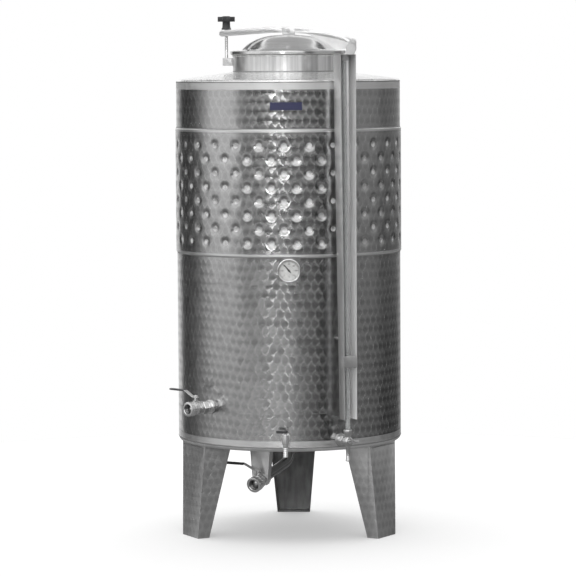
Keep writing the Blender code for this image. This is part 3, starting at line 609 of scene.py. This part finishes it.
bead = dict(root=0.0005, ripple=0.00015, sides=720)
welds = {
    "weld_shell_foot": (0.3899, 0.3342, 0.005, 0.0008, 300),
    "weld_shell_top": (0.3899, 1.57, 0.004, 0.0006, 300),
    "weld_jacket_top": (shell["face"], 1.412, 0.003, 0.0009, 340),
    "weld_jacket_foot": (shell["face"], 0.979, 0.003, 0.0009, 340),
    "weld_neck": (0.191, 1.605, 0.004, 0.0012, 150),
}


def makeWeld(name, radius, height, width, rise, ripples):
    def rippled(r, angle, level):
        return r + (bead["ripple"] * sin(ripples * angle) if r > radius else 0.0)
    root = radius - bead["root"]
    flank = radius + rise * 0.8
    rings = [(reach, height + width * share) for reach, share in (
        (root, -0.5), (radius, -0.5), (flank, -0.25), (radius + rise, 0.0), (flank, 0.25), (radius, 0.5),
        (root, 0.5))]
    finishPiece(name, ringMesh(rings, bead["sides"], rippled), onAxis, "weld", "tank", "plain_steel")


# Ends, neck and lid

roof = dict(shellTop=1.57, rim=1.5785, rimRadius=0.3815, peak=1.604, neckRadius=0.1913, sheet=0.002)
bottom = dict(weld=0.334, rim=0.3197, rimRadius=0.376, outlet=0.3, outletRadius=0.0178, sheet=0.002)
neck = dict(radius=0.191, wall=0.002, foot=1.594, beadFoot=1.6475, top=1.6625, bead=0.006)
lid = dict(
    radius=0.202, under=1.6648, rim=1.6765, edge=0.003, domeFoot=0.162, sag=0.0484,
    top=1.732, steps=24, ringInner=0.184, sheet=0.002, sealInner=0.186, sealBulge=0.0004,
    ledge=[(0.1645, 1.6818), (0.1665, 1.6801), (0.172, 1.6784), (0.178, 1.6775)],
)


def makeRoof():
    radius, rim, peak, sheet, hole = pick(roof, "rimRadius rim peak sheet neckRadius")
    knuckle = arc(radius, roof["shellTop"], shell["radius"] - radius, rim - roof["shellTop"], 0, 90, 9)
    inner = [(r - sheet, h) for r, h in knuckle[:3]]
    outline = knuckle + [(hole, peak), (hole, peak - sheet), (radius - 0.001, rim - sheet)] + inner[::-1]
    replaceNode("roof_cone", turnedMesh(outline, 240), onAxis, "roof", "roof_skin")


def makeBottom():
    radius, weld, sheet, outlet, hole = pick(bottom, "rimRadius weld sheet outlet outletRadius")
    rise = weld - bottom["rim"]
    run = shell["radius"] - radius
    outer = arc(radius, weld, run, rise, -90, 0, 9)
    inner = arc(radius, weld, run - sheet, rise - sheet, -90, 0, 9)
    outline = [(hole, outlet)] + outer + inner[::-1] + [(hole, outlet + sheet)]
    replaceNode("tank_bottom", turnedMesh(outline, 240), onAxis, "band", "bottom_skin")


def makeNeck():
    outer = neck["radius"]
    inner = outer - neck["wall"]
    roll = neck["bead"] / 2
    outline = [(inner, neck["foot"]), (outer, neck["foot"]), (outer, neck["beadFoot"])]
    outline += arc(outer, neck["top"] - roll, roll, roll, -90, 90, 15) + [(inner, neck["top"])]
    replaceNode("manway_neck", turnedMesh(outline), onAxis, "neck", "neck_skin")


def domeLine(top):
    foot, sag, steps = pick(lid, "domeFoot sag steps")
    shares = [step / steps for step in range(steps + 1)]
    return [(foot * share, top - sag * share ** 2 * (0.35 + 0.65 * share ** 2)) for share in shares]


def makeLid():
    r, rim, under, edge, ledge, sheet = pick(lid, "radius rim under edge ledge sheet")
    hem = [(r, under + 0.001), (r - 0.001, under), (lid["ringInner"], under), (lid["ringInner"], rim - sheet)]
    outer = domeLine(lid["top"]) + ledge + arc(r - edge, rim - edge, edge, edge, 90, 0, -15) + hem
    inner = domeLine(lid["top"] - sheet) + [(radius, height - sheet) for radius, height in ledge]
    replaceNode("lid_dome", turnedMesh(outer + inner[::-1]), onAxis, "dome", "lid_skin")
    low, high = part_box("lid_seal")
    hole = lid["sealInner"]
    outside = (high.x - low.x) / 2
    seal = [(hole, low.z), (outside, low.z), (outside + lid["sealBulge"], (low.z + high.z) / 2),
            (outside, high.z), (hole, high.z)]
    replaceNode("lid_seal", turnedMesh(seal), onAxis, "seal", "seal_skin")


# Plain blue plate on the upper zone

plate = dict(azimuth=1.0, width=0.108, low=1.476, high=1.502, reach=0.3902, thickness=0.0002, steps=24)


def makePlate():
    back, low, high, steps = pick(plate, "reach low high steps")
    front = back + plate["thickness"]
    half = plate["width"] / 2 / back
    angles = [radians(plate["azimuth"]) - half + 2 * half * step / steps for step in range(steps + 1)]
    rings = [[onWall(radius, angle, height) for radius, height in
              ((back, low), (back, high), (front, high), (front, low))] for angle in angles]
    finishPiece("label_sticker", loftMesh(rings), onAxis, "blue", "tank", "plain_steel")


# Ball valves with their levers; the end is the middle of a valve's mouth

ballValves = dict(
    racking=dict(azimuth=-42.0, endReach=0.4998, endHeight=0.464, tilt=0.0, length=0.1095, stem=0.07,
                 stemTop=0.0372, mouth=0.0248, bore=0.0165, lever=0.126, boss=0.025),
    drain=dict(azimuth=-28.0, endReach=0.254, endHeight=0.1825, tilt=13.0, length=0.092, stem=0.052,
               stemTop=0.04, mouth=0.0272, bore=0.018, lever=0.136, boss=0.0),
)


def valvePlace(size):
    tilt = radians(size["tilt"])
    reach = size["endReach"] - size["length"] * cos(tilt)
    return wallPlace(size["azimuth"], reach, size["endHeight"] + size["length"] * sin(tilt), size["tilt"])


def makeBallValve(name, size):
    place = valvePlace(size)
    mouth, bore, stem, length, boss = pick(size, "mouth bore stem length boss")
    tail = mouth * 0.7
    waist = mouth - 0.0045
    seat = length - 0.022
    ball = bore * 0.74
    body = [(0.0, 0.0), (tail, 0.0), (tail, stem - 0.026), (waist - 0.0012, stem - 0.0235),
            (waist, stem - 0.022), (waist, stem - 0.0165), (waist - 0.0009, stem - 0.016),
            (waist - 0.0009, stem - 0.015), (waist, stem - 0.0145)]
    body += [(waist + 0.002 * sin(radians(a)) ** 2, stem - 0.012 + 0.024 * a / 180.0)
             for a in range(0, 181, 15)]
    body += [(waist, stem + 0.013), (mouth - 0.001, stem + 0.015), (mouth, stem + 0.016),
             (mouth, stem + 0.02), (mouth - 0.0006, stem + 0.0204), (mouth - 0.0006, stem + 0.0212),
             (mouth, stem + 0.0216), (mouth, length - 0.002), (mouth - 0.0006, length - 0.0006),
             (mouth - 0.002, length), (bore + 0.0015, length), (bore + 0.0002, length - 0.0014)]
    body += threaded(bore, seat + 0.004, length - 0.002, 0.0018, -0.0006)[::-1]
    body += [(bore, seat + 0.001), (bore - 0.001, seat), (ball + 0.0005, seat), (ball, seat - 0.0004)]
    body += arc(0.0, seat, ball, 0.009, 10, 90, 10)
    top = shifted(0.0, 0.0, stem) @ upright
    parts = [turnedMesh(body, 72), hexMesh(mouth * 0.98, stem - 0.044, stem - 0.024, 0.0014),
             moved(softRod(0.0115, waist - 0.004, waist + 0.0012), top),
             moved(hexMesh(0.0105, waist + 0.001, waist + 0.006), top),
             moved(softRod(0.006, waist, size["stemTop"] - 0.0003), top)]
    if boss:
        rose = [(boss, 0.0), (boss, 0.0035), (boss - 0.0014, 0.0055), (tail + 0.002, 0.0062), (tail, 0.0085)]
        parts += [solidMesh(rose, 72), softRod(tail + 0.0022, 0.016, 0.021, 0.001)]
    mesh = joined(*parts)
    # faces inside the bore get the dark bore finish, as painted shade
    for face in mesh.polygons:
        reach = hypot(face.center.x, face.center.y)
        inBore = ball < reach < bore + 0.0009 and seat - 0.0003 < face.center.z < length - 0.0016
        face.material_index = 1 if inBore else 0
    replaceNode(name + "_valve", mesh, place, "fitting bore")
    makeLever(name, place @ shifted(0.0, size["stemTop"], stem), size["lever"])


lever = dict(strap=0.0025, half=0.007, edge=0.0004, rise=0.0195, crankStart=0.012, crankEnd=0.049,
             tail=0.003, gripThick=0.0033, gripWide=0.008, gripCorners=0.6)


def squared(value):
    # pulls a sine or cosine outwards, so that a circle gets corners
    return copysign(abs(value) ** lever["gripCorners"], value)


def makeLever(name, place, reach):
    # a cranked strap with a nut, and a plastic sleeve along -X
    strap, rise, edge, start, end = pick(lever, "strap rise edge crankStart crankEnd")
    rings = []
    for x, foot, share in (
            (0.01, 0.0, 0.45), (0.0085, 0.0, 0.8), (0.0055, 0.0, 1.0), (0.002 - start, 0.0, 1.0),
            (-start - 0.002, 0.0012, 1.0), (0.002 - end, rise - 0.0012, 1.0), (-end - 0.0015, rise, 1.0),
            (-end - lever["tail"], rise, 1.0)):
        wide = lever["half"] * share
        top = foot + strap
        rings.append([(x, up, across) for up, across in (
            (foot + edge, -wide), (foot, edge - wide), (foot, wide - edge), (foot + edge, wide),
            (top - edge, wide), (top, wide - edge), (top, edge - wide), (top - edge, -wide))])
    mesh = joined(loftMesh(rings), moved(softRod(0.0078, strap, strap + 0.001, 0.0003), upright),
                  moved(hexMesh(0.0075, strap + 0.001, 0.0072), upright),
                  moved(softRod(0.0036, 0.004, 0.0085), upright))
    replaceNode(name + "_lever", mesh, place, "strap")
    middle = rise + strap / 2
    start = -end - lever["tail"] - 0.0003
    rings = []
    angles = [2 * pi * step / 24 for step in range(24)]
    for x, share in (
            (start, 0.88), (start - 0.0015, 1.0), (start - 0.012, 1.0), (start - 0.016, 0.92),
            (start - 0.02, 1.0), (0.01 - reach, 1.0), (0.004 - reach, 0.9), (0.0012 - reach, 0.62),
            (-reach, 0.25)):
        rings.append([(x, middle + lever["gripThick"] * share * squared(sin(angle)),
                       lever["gripWide"] * share * squared(cos(angle))) for angle in angles])
    replaceNode(name + "_grip", loftMesh(rings), place, "black", sharp=60.0)


# Drain pipe, in one bend from the outlet to its valve

drainPipe = dict(radius=0.0175, bend=0.05, outlet=0.302, steps=24)


def makeDrainPipe():
    tilt = ballValves["drain"]["tilt"]
    place = valvePlace(ballValves["drain"])
    inlet = place @ Vector((0.0, 0.0, -0.0003)) - tankAxis
    outward = (place.to_3x3() @ Vector((0.0, 0.0, 1.0))).normalized()
    knee = inlet - outward * (hypot(inlet.x, inlet.y) / cos(radians(tilt)))
    turn = radians(90.0 - tilt)
    bend = drainPipe["bend"]
    flat = Vector((outward.x, outward.y, 0.0)).normalized()
    centre = knee + Vector((0.0, 0.0, bend * sin(turn / 2) / cos(turn / 2))) + flat * bend
    route = [Vector((0.0, 0.0, drainPipe["outlet"]))]
    for step in range(drainPipe["steps"] + 1):
        angle = turn * step / drainPipe["steps"]
        route.append(centre - flat * bend * cos(angle) - Vector((0.0, 0.0, bend * sin(angle))))
    route.append(inlet)
    # the drain pipe is painted dark with the pipe finish, as a painted dark reflection
    replaceNode("drain_pipe", tubeMesh(route, drainPipe["radius"]), onAxis, "pipe")


# Sample tap

tap = dict(azimuth=0.0, height=0.37, reach=0.045, boss=0.0165, neck=0.01, head=0.0122,
       spout=0.0086, ribs=5, ribPitch=0.0062, inset=0.0028)


def makeTap():
    boss, thin, head, spout, reach = pick(tap, "boss neck head spout reach")
    barrel = [(boss, 0.0), (boss, 0.003), (boss - 0.0015, 0.0052), (thin + 0.001, 0.006), (thin, 0.0075),
              (thin, 0.018), (thin + 0.0022, 0.019), (thin + 0.0022, 0.025), (thin, 0.026), (thin, reach)]
    housing = [(head - 0.0022, -0.018), (head - 0.0006, -0.0165), (head, -0.014), (head, 0.006),
               (head - 0.0008, 0.0068), (head - 0.0008, 0.0082), (head, 0.009), (head, 0.0128),
               (head - 0.0012, 0.014)]
    nozzle = [(spout - 0.0016, -0.062), (spout - 0.0004, -0.061)]
    for rib in range(tap["ribs"]):
        foot = -0.06 + tap["ribPitch"] * rib
        nozzle += [(spout - 0.0014, foot), (spout, foot + 0.0012), (spout, foot + 0.003),
                   (spout - 0.0014, foot + 0.0056)]
    nozzle += [(spout, -0.027), (spout, -0.015)]
    across = shifted(0.0, 0.0, reach - tap["inset"]) @ upright
    stem = moved(softRod(0.005, 0.01, 0.02), shifted(0.0, 0.0, reach) @ upright)
    crossing = [moved(solidMesh(outline), across) for outline in (housing, nozzle)]
    mesh = joined(solidMesh(barrel), *crossing, stem)
    replaceNode("sample_tap", mesh, wallPlace(tap["azimuth"], shell["face"], tap["height"]), "satin")


# Sight gauge: its lower valve, glass, channel guard and clip

gauge = dict(
    azimuth=28.2, height=0.357, reachFoot=0.444, reachTop=0.427, tubeTop=1.6397,
    cupTop=0.04, tube=0.008, wall=0.0016, rim=0.0003, web=0.4035,
    earLow=0.61, earHigh=0.649, earFront=0.4682, earRear=0.444, earSide=0.0246, earSheet=0.0013,
)
atGauge = onAxis @ turned(gauge["azimuth"])


def makeGaugeValve():
    middle = gauge["reachFoot"] - shell["face"]
    barrel = [(0.022, 0.0), (0.022, 0.003), (0.0205, 0.0052), (0.013, 0.0062), (0.011, 0.008),
              (0.011, middle - 0.022), (0.0148, middle - 0.017), (0.0164, middle - 0.008), (0.0168, middle),
              (0.0164, middle + 0.005), (0.0145, middle + 0.0095), (0.011, middle + 0.012)]
    cup = [(0.0078, 0.006), (0.0078, 0.01), (0.0092, 0.0112), (0.0092, 0.014), (0.0086, 0.015),
           (0.014, 0.03), (0.0148, 0.032), (0.0148, 0.0385), (0.014, gauge["cupTop"])]
    spout = [(0.0062, -0.068), (0.0078, -0.067), (0.0078, -0.061), (0.0068, -0.0595), (0.0068, -0.03),
             (0.0078, -0.028), (0.0078, -0.006)]
    across = shifted(0.0, 0.0, middle) @ upright
    mesh = joined(solidMesh(barrel), hexMesh(0.019, 0.02, 0.035, 0.0016), softRod(0.0142, 0.0145, 0.019),
                  moved(solidMesh(cup), across), moved(solidMesh(spout), across))
    place = wallPlace(gauge["azimuth"], shell["face"], gauge["height"])
    replaceNode("gauge_valve", mesh, place, "union")


def makeGaugeTube():
    low = Vector((0.0, -gauge["reachFoot"], gauge["height"] + gauge["cupTop"] + 0.0005))
    along = Vector((0.0, -gauge["reachTop"], gauge["tubeTop"])) - low
    outer, wall, rim = pick(gauge, "tube wall rim")
    inner = outer - wall
    outline = [(inner, 0.0), (outer - rim, 0.0), (outer, rim), (outer, along.length - rim),
               (outer - rim, along.length), (inner, along.length)]
    place = atGauge @ Matrix.Translation(low) @ along.to_track_quat('Z', 'Y').to_matrix().to_4x4()
    replaceNode("gauge_tube", turnedMesh(outline, 48), place, "glass")


def dressGuard():
    # the film is still on the inner side of one flange
    skin = dressNode("gauge_guard", "guard film pipe", bevel=0.0007)
    back = atGauge.inverted()
    for face in skin.data.polygons:
        middle = back @ face.center
        inFilm = (back.to_3x3() @ face.normal).x < -0.7 and middle.x > 0.01
        # faces nearer the tank than the web line get the dark pipe finish, as painted shade at the back of
        # the channel
        face.material_index = 1 if inFilm else 2 if -middle.y < gauge["web"] else 0


def makeClipEar():
    # the clip is folded back over the guard's side
    low, high, front, rear, side = pick(gauge, "earLow earHigh earFront earRear earSide")
    outer = side + gauge["earSheet"]
    ear = plateMesh([(-outer, -front), (-side, -front), (-side, -rear), (-outer, -rear)], low, high)
    finishPiece("gauge_clip_ear", ear, atGauge, "bright", "tank", "fitting_steel")


# Legs and the shell's upright seam, at the back

leg = dict(azimuths=(60.0, 180.0, -60.0), weldReach=0.3763, weldHeight=0.316, weldHalf=0.078,
           weldRadius=0.0022, weldSteps=60, waver=0.0004)
seam = dict(radius=0.0016, inset=0.0006, edge=0.0012, low=(0.337, 0.977), high=(1.414, 1.567))


def dressBackLeg():
    # the inner side of the folded sheet, seen on the back leg, is painted dark as painted shade
    skin = dressNode("leg_back", "leg legBack")
    for face in skin.data.polygons:
        face.material_index = 1 if face.normal.y < -0.2 else 0


def makeLegWelds():
    reach, height, half, steps = pick(leg, "weldReach weldHeight weldHalf weldSteps")
    for index, azimuth in enumerate(leg["azimuths"]):
        route = [Vector((-half + 2 * half * step / steps, -reach + leg["waver"] * sin(step * 1.9), height))
                 for step in range(steps + 1)]
        finishPiece(f"weld_leg_{index + 1}", tubeMesh(route, leg["weldRadius"], 12),
                    onAxis @ turned(azimuth), "weld", "tank", "leg_steel")


def makeSeams():
    place = onAxis @ shifted(0.0, shell["radius"] - seam["inset"], 0.0)
    for end in ("low", "high"):
        rod = softRod(seam["radius"], *seam[end], seam["edge"], 16)
        finishPiece("seam_" + end, rod, place, "weld", "tank", "plain_steel")


# Thermometer, with its scale

thermometer = dict(
    azimuth=2.0, height=0.938, back=0.012, floor=0.027, can=0.0385, bezel=0.04, face=0.0281, ink=0.00012,
    scaleRadius=0.03, first=225.0, sweep=-270.0, steps=48, numbers=7, numberStep=20, figure=0.007,
    figureShare=0.74,
    # length and half width
    longTick=(0.0048, 0.00055), shortTick=(0.0026, 0.00024),
)


def flatRing(inner, outer, low):
    high = low + thermometer["ink"]
    return turnedMesh([(inner, low), (outer, low), (outer, high), (inner, high)], 96)


def figureMesh(words, x, y, low):
    curve = bpy.data.curves.new("figure", 'FONT')
    curve.body = words
    curve.size = thermometer["figure"]
    curve.align_x = 'CENTER'
    curve.align_y = 'CENTER'
    curve.extrude = thermometer["ink"] / 2
    maker = bpy.data.objects.new("figure", curve)
    mesh = bpy.data.meshes.new_from_object(maker)
    bpy.data.objects.remove(maker)
    bpy.data.curves.remove(curve)
    return moved(mesh, shifted(x, y, low + thermometer["ink"] / 2))


def makeScale(place):
    # ticks, two fine rings and plain figures, printed proud of the dial by a hair
    face, ink, radius, steps = pick(thermometer, "face ink scaleRadius steps")
    first, sweep, numbers = pick(thermometer, "first sweep numbers")
    parts = [flatRing(0.0324, 0.0327, face), flatRing(0.0148, 0.015, face)]
    outer = radius + 0.002
    for step in range(steps + 1):
        turn = turned(first + sweep * step / steps)
        length, wide = thermometer["shortTick" if step % (steps // (numbers - 1)) else "longTick"]
        tick = [(outer - length, -wide), (outer, -wide), (outer, wide), (outer - length, wide)]
        parts.append(moved(plateMesh(tick, face, face + ink, 0.00002), turn))
    for index in range(numbers):
        angle = radians(first + sweep * index / (numbers - 1))
        reach = radius * thermometer["figureShare"]
        words = str(index * thermometer["numberStep"])
        parts.append(figureMesh(words, reach * cos(angle), reach * sin(angle), face))
    parts.append(figureMesh("\u00b0C", 0.0, -0.0205, face))
    finishPiece("thermometer_scale", joined(*parts), place, "ink", "tank", "dial_white")


def makeThermometer():
    place = wallPlace(thermometer["azimuth"], shell["face"], thermometer["height"])
    back, floor, can, bezel = pick(thermometer, "back floor can bezel")
    pocket = [(0.015, 0.0), (0.015, 0.0028), (0.0138, 0.0042), (0.0118, 0.0048), (0.011, 0.006),
              (0.011, back)]
    replaceNode("thermometer_pocket", solidMesh(pocket), place, "fitting")
    case = [(0.035, back + 0.0003), (0.0375, back + 0.001), (can, back + 0.0032), (can, 0.0298),
            (bezel - 0.0004, 0.0304), (bezel, 0.0312), (bezel, 0.0352), (bezel - 0.0006, 0.0366),
            (0.0378, 0.0374), (0.0364, 0.0373), (0.0352, 0.0366), (0.0346, 0.0352), (0.0345, 0.033),
            (0.0345, floor)]
    replaceNode("thermometer_case", solidMesh(case, 96), place, "polished")
    dial = [(0.0342, floor + 0.0003), (0.0342, floor + 0.001), (0.0015, floor + 0.001),
            (0.0015, floor + 0.0025)]
    replaceNode("thermometer_dial", solidMesh(dial, 96), place, "dial")
    makeScale(place)


# Deep sides of the clamp arm towards its hinge

gusset = dict(
    upper=[(0.06, 1.7365), (0.1, 1.732), (0.14, 1.7255), (0.18, 1.7155), (0.2144, 1.7055)],
    lower=[(0.2144, 1.69), (0.206, 1.6815), (0.166, 1.6815), (0.15, 1.69), (0.13, 1.704), (0.1, 1.7205)],
    inner=0.0178, outer=0.0197,
)


def makeGussets():
    outline = (gusset["upper"] + gusset["lower"])[::-1]
    inner, outer = pick(gusset, "inner outer")
    mesh = joined(plateMesh(outline, inner, outer), plateMesh(outline, -outer, -inner))
    finishPiece("arm_gussets", mesh, onAxis @ turned(90.0, 'X'), "arm", "lid", "polished_steel")


# Heads of the pins at the hinge, under the arm's block and in the clevis

pinHeads = dict(
    hinge=dict(x=0.2269, z=1.707, y=0.0275, radius=0.0065, height=0.003, body="tank"),
    block=dict(x=0.003, z=1.746, y=0.0235, radius=0.0055, height=0.0026, body="lid"),
    clevis=dict(x=-0.2136, z=1.639, y=0.0142, radius=0.0052, height=0.0024, body="tank"),
)


def makePinHeads():
    for name, head in pinHeads.items():
        for end, turn in (("front", 90.0), ("back", -90.0)):
            place = onAxis @ shifted(head["x"], 0.0, head["z"]) @ turned(turn, 'X')
            foot = head["y"]
            mesh = joined(hexMesh(head["radius"], foot, foot + head["height"]),
                          softRod(head["radius"] * 1.25, foot - 0.0008, foot, 0.0002))
            finishPiece(f"pin_{name}_{end}", mesh, place, "bright", head["body"], "fitting_steel")


# Swing bolt

swingBolt = dict(x=-0.2136, pin=1.639, radius=0.0055, eye=0.0095, hole=0.0045, top=1.785,
                 threadFoot=0.05, threadPitch=0.0016, threadDepth=0.0007)


def makeSwingBolt():
    radius, eye, hole, foot = pick(swingBolt, "radius eye hole threadFoot")
    length = swingBolt["top"] - swingBolt["pin"]
    ring = [(hole, -0.0056), (hole + 0.0005, -0.006), (eye - 0.001, -0.006), (eye, -0.0048), (eye, 0.0048),
            (eye - 0.001, 0.006), (hole + 0.0005, 0.006), (hole, 0.0056)]
    shank = [(0.0062, 0.007), (0.0062, 0.011), (radius, 0.013), (radius, foot)]
    shank += threaded(radius, foot, length - 0.0015, swingBolt["threadPitch"], swingBolt["threadDepth"])
    mesh = joined(moved(turnedMesh(ring, 48), upright), solidMesh(shank + [(0.0038, length)], 40))
    place = onAxis @ shifted(swingBolt["x"], 0.0, swingBolt["pin"])
    replaceNode("swing_bolt", mesh, place, "fitting")


makeShell()
makeJacket()
makeRoof()
makeBottom()
makeNeck()
makeLid()
makePlate()
for weldName, weldSizes in welds.items():
    makeWeld(weldName, *weldSizes)
makeSeams()
makeLegWelds()
print("shell, jacket, ends and lid made")

for valveName, valveSize in ballValves.items():
    makeBallValve(valveName, valveSize)
makeDrainPipe()
makeTap()
makeGaugeValve()
makeGaugeTube()
makeThermometer()
makeSwingBolt()
# solids that already have the right shape, by finish
dressed = dict(
    black=("star_knob", "thermometer_needle", "sample_handle"),
    fitting=("gauge_handle", "jacket_inlet", "jacket_outlet"),
    bright=("hinge_bracket", "clamp_bracket", "gauge_top", "gauge_clip"),
    leg=("leg_left", "leg_right"),
    arm=("clamp_arm", "arm_block"),
)
for finishName, nodeNames in dressed.items():
    for nodeName in nodeNames:
        dressNode(nodeName, finishName)
dressNode("drain_hanger", "bright", bevel=0.0014)
dressBackLeg()
dressGuard()
makeClipEar()
makePinHeads()
makeGussets()
print("fittings dressed")


# Studio: a pale floor, and a room whose soft boxes are painted on the world by direction

studio = dict(
    floorRadius=2.6, floorDrop=0.0002, floorPaint=0.333, floorGlow=0.4, ground=0.22,
    # azimuth, then brightness a little below eye level, at eye level and overhead
    strips=[
        (-165, 1.0, 0.95, 1.1), (-148, 0.8, 0.6, 1.0), (-140, 0.05, 0.04, 0.15),
        (-112, 0.12, 0.06, 0.15), (-100, 0.3, 0.16, 0.45), (-90, 0.38, 0.64, 0.75),
        (-83, 0.42, 0.94, 0.9), (-54, 0.44, 0.94, 0.9), (-46, 0.6, 0.18, 1.0),
        (-25, 0.64, 0.08, 1.4), (-8, 0.8, 0.12, 1.5), (4, 0.64, 0.08, 1.4),
        (12, 0.3, 0.1, 1.4), (32, 0.12, 0.15, 1.2), (38, 0.02, 0.02, 0.35),
        (52, 0.02, 0.02, 0.35), (62, 0.18, 0.32, 0.45), (100, 0.11, 0.31, 0.4),
        (115, 0.04, 0.17, 0.25), (150, 0.06, 0.22, 0.3), (170, 0.45, 0.6, 1.1)],
    # overhead at the back, by how far a direction leans aside
    canopy=[
        (0.0, 0.42), (0.13, 0.5), (0.145, 1.2), (0.165, 1.2), (0.18, 0.1), (0.27, 0.14),
        (0.34, 0.95), (0.5, 0.95), (0.55, 0.06), (0.85, 0.06), (0.95, 1.0)],
    brightest=4.0,
    keyAzimuth=-8.0, keyHalfWidth=3.0, keyLow=2.0, keyHigh=6.5, keySoft=1.0, keyLevel=12.0,
    lampPlace=(-0.2, 1.2, 6.0), lampSize=11.0, lampPower=1000.0, lampAim=0.8,
)


def makeFloor():
    bm = bmesh.new()
    bmesh.ops.create_circle(bm, cap_ends=True, segments=96, radius=studio["floorRadius"])
    mesh = bpy.data.meshes.new("floor")
    bm.to_mesh(mesh)
    bm.free()
    finish, shader = newFinish("floorPaint", [studio["floorPaint"]] * 3, 0.0, 0.9)[:2]
    setInputs(shader, {"Specular IOR Level": 0.0, "Emission Color": (1.0, 1.0, 1.0, 1.0),
                       "Emission Strength": studio["floorGlow"]})
    mesh.materials.append(finish)
    ground = addObject("floor", moved(mesh, shifted(0.0, 0.0, -studio["floorDrop"])))
    ground.visible_glossy = False


def rampOf(value, stops):
    # one level gives a grey ramp, three go into red, green and blue
    ramp = addNode("ValToRGB", {"Fac": value})
    elements = ramp.color_ramp.elements
    while len(elements) > 1:
        elements.remove(elements[-1])
    for index, (place, *levels) in enumerate(stops):
        stop = elements[0] if index == 0 else elements.new(place)
        stop.position = place
        stop.color = (*[level / studio["brightest"] for level in (levels * 3)[:3]], 1.0)
    return addNode("SeparateColor", {"Color": ramp.outputs[0]}).outputs


def makeWorld():
    world = bpy.data.worlds.new("studio")
    world.use_nodes = True
    bpy.context.scene.world = world
    tree = world.node_tree
    x, y, z = addNode("SeparateXYZ", {"Vector": source(tree, "TexCoord", "Generated")}).outputs
    azimuth = calc("DEGREES", calc("ARCTAN2", x, times(y, -1.0)))
    elevation = calc("DEGREES", calc("ARCSINE", z))
    strips = [((angle + 180.0) / 360.0, *levels) for angle, *levels in studio["strips"]]
    below, level, above = rampOf(spread(azimuth, 0.0, 1.0, -180.0, 180.0), strips)[:3]
    room = choose(fade(elevation, -7.0, -1.5), below, level)
    room = choose(fade(elevation, 1.5, 7.0), room, above)
    leaning = calc("DIVIDE", calc("ABSOLUTE", x), times(z, z))
    leaning = calc("MINIMUM", calc("DIVIDE", leaning, 4.0), 1.0)
    canopy = rampOf(leaning, studio["canopy"])[0]
    overhead = times(fade(elevation, 14.0, 20.0), fade(y, 0.0, 0.15))
    room = times(choose(overhead, room, canopy), studio["brightest"])
    half, low, high, soft = pick(studio, "keyHalfWidth keyLow keyHigh keySoft")
    fromKey = calc("ABSOLUTE", minus(azimuth, studio["keyAzimuth"]))
    key = times(fade(elevation, low - soft, low + soft), fade(elevation, high + soft, high - soft))
    key = times(fade(fromKey, half + soft, half - soft), key)
    room = plus(room, times(key, studio["keyLevel"]))
    room = choose(fade(elevation, -7.5, -14.0), room, studio["ground"])
    seen = source(tree, "LightPath", "Is Camera Ray")
    setInputs(tree.nodes["Background"], {"Color": grey(choose(seen, room, 1.0))})


def makeLamp():
    light = bpy.data.lights.new("topLamp", 'AREA')
    light.shape = 'DISK'
    light.size = studio["lampSize"]
    light.energy = studio["lampPower"]
    lamp = addObject("topLamp", light)
    lamp.location = studio["lampPlace"]
    lamp.visible_glossy = False
    towards = tankAxis + Vector((0.0, 0.0, studio["lampAim"])) - lamp.location
    lamp.rotation_euler = towards.to_track_quat('-Z', 'Y').to_euler()


# Camera, placed from the photograph's own lines (576 by 576)

view = dict(
    distance=10.0, height=1.627, azimuth=2.0, focal=2860.0, side=576.0, sensor=36.0,
    horizon=65.0, middle=289.1, roll=-0.34,
)


def makeCamera():
    data = bpy.data.cameras.new("camera")
    data.sensor_width = view["sensor"]
    data.lens = view["sensor"] * view["focal"] / view["side"]
    data.clip_end = 60.0
    camera = addObject("camera", data)
    turn = radians(view["azimuth"])
    half = view["side"] / 2
    pitch = atan((half - view["horizon"]) / view["focal"])
    yaw = atan((view["middle"] - half) / view["focal"])
    place = tankAxis + Vector(onWall(view["distance"], turn, view["height"]))
    camera.matrix_world = (Matrix.Translation(place) @ Matrix.Rotation(turn + yaw, 4, 'Z')
                           @ Matrix.Rotation(pi / 2 - pitch, 4, 'X') @ turned(view["roll"]))
    bpy.context.scene.camera = camera


makeFloor()
makeWorld()
makeLamp()
makeCamera()
bpy.context.scene.view_settings.view_transform = 'Standard'
print("studio ready")
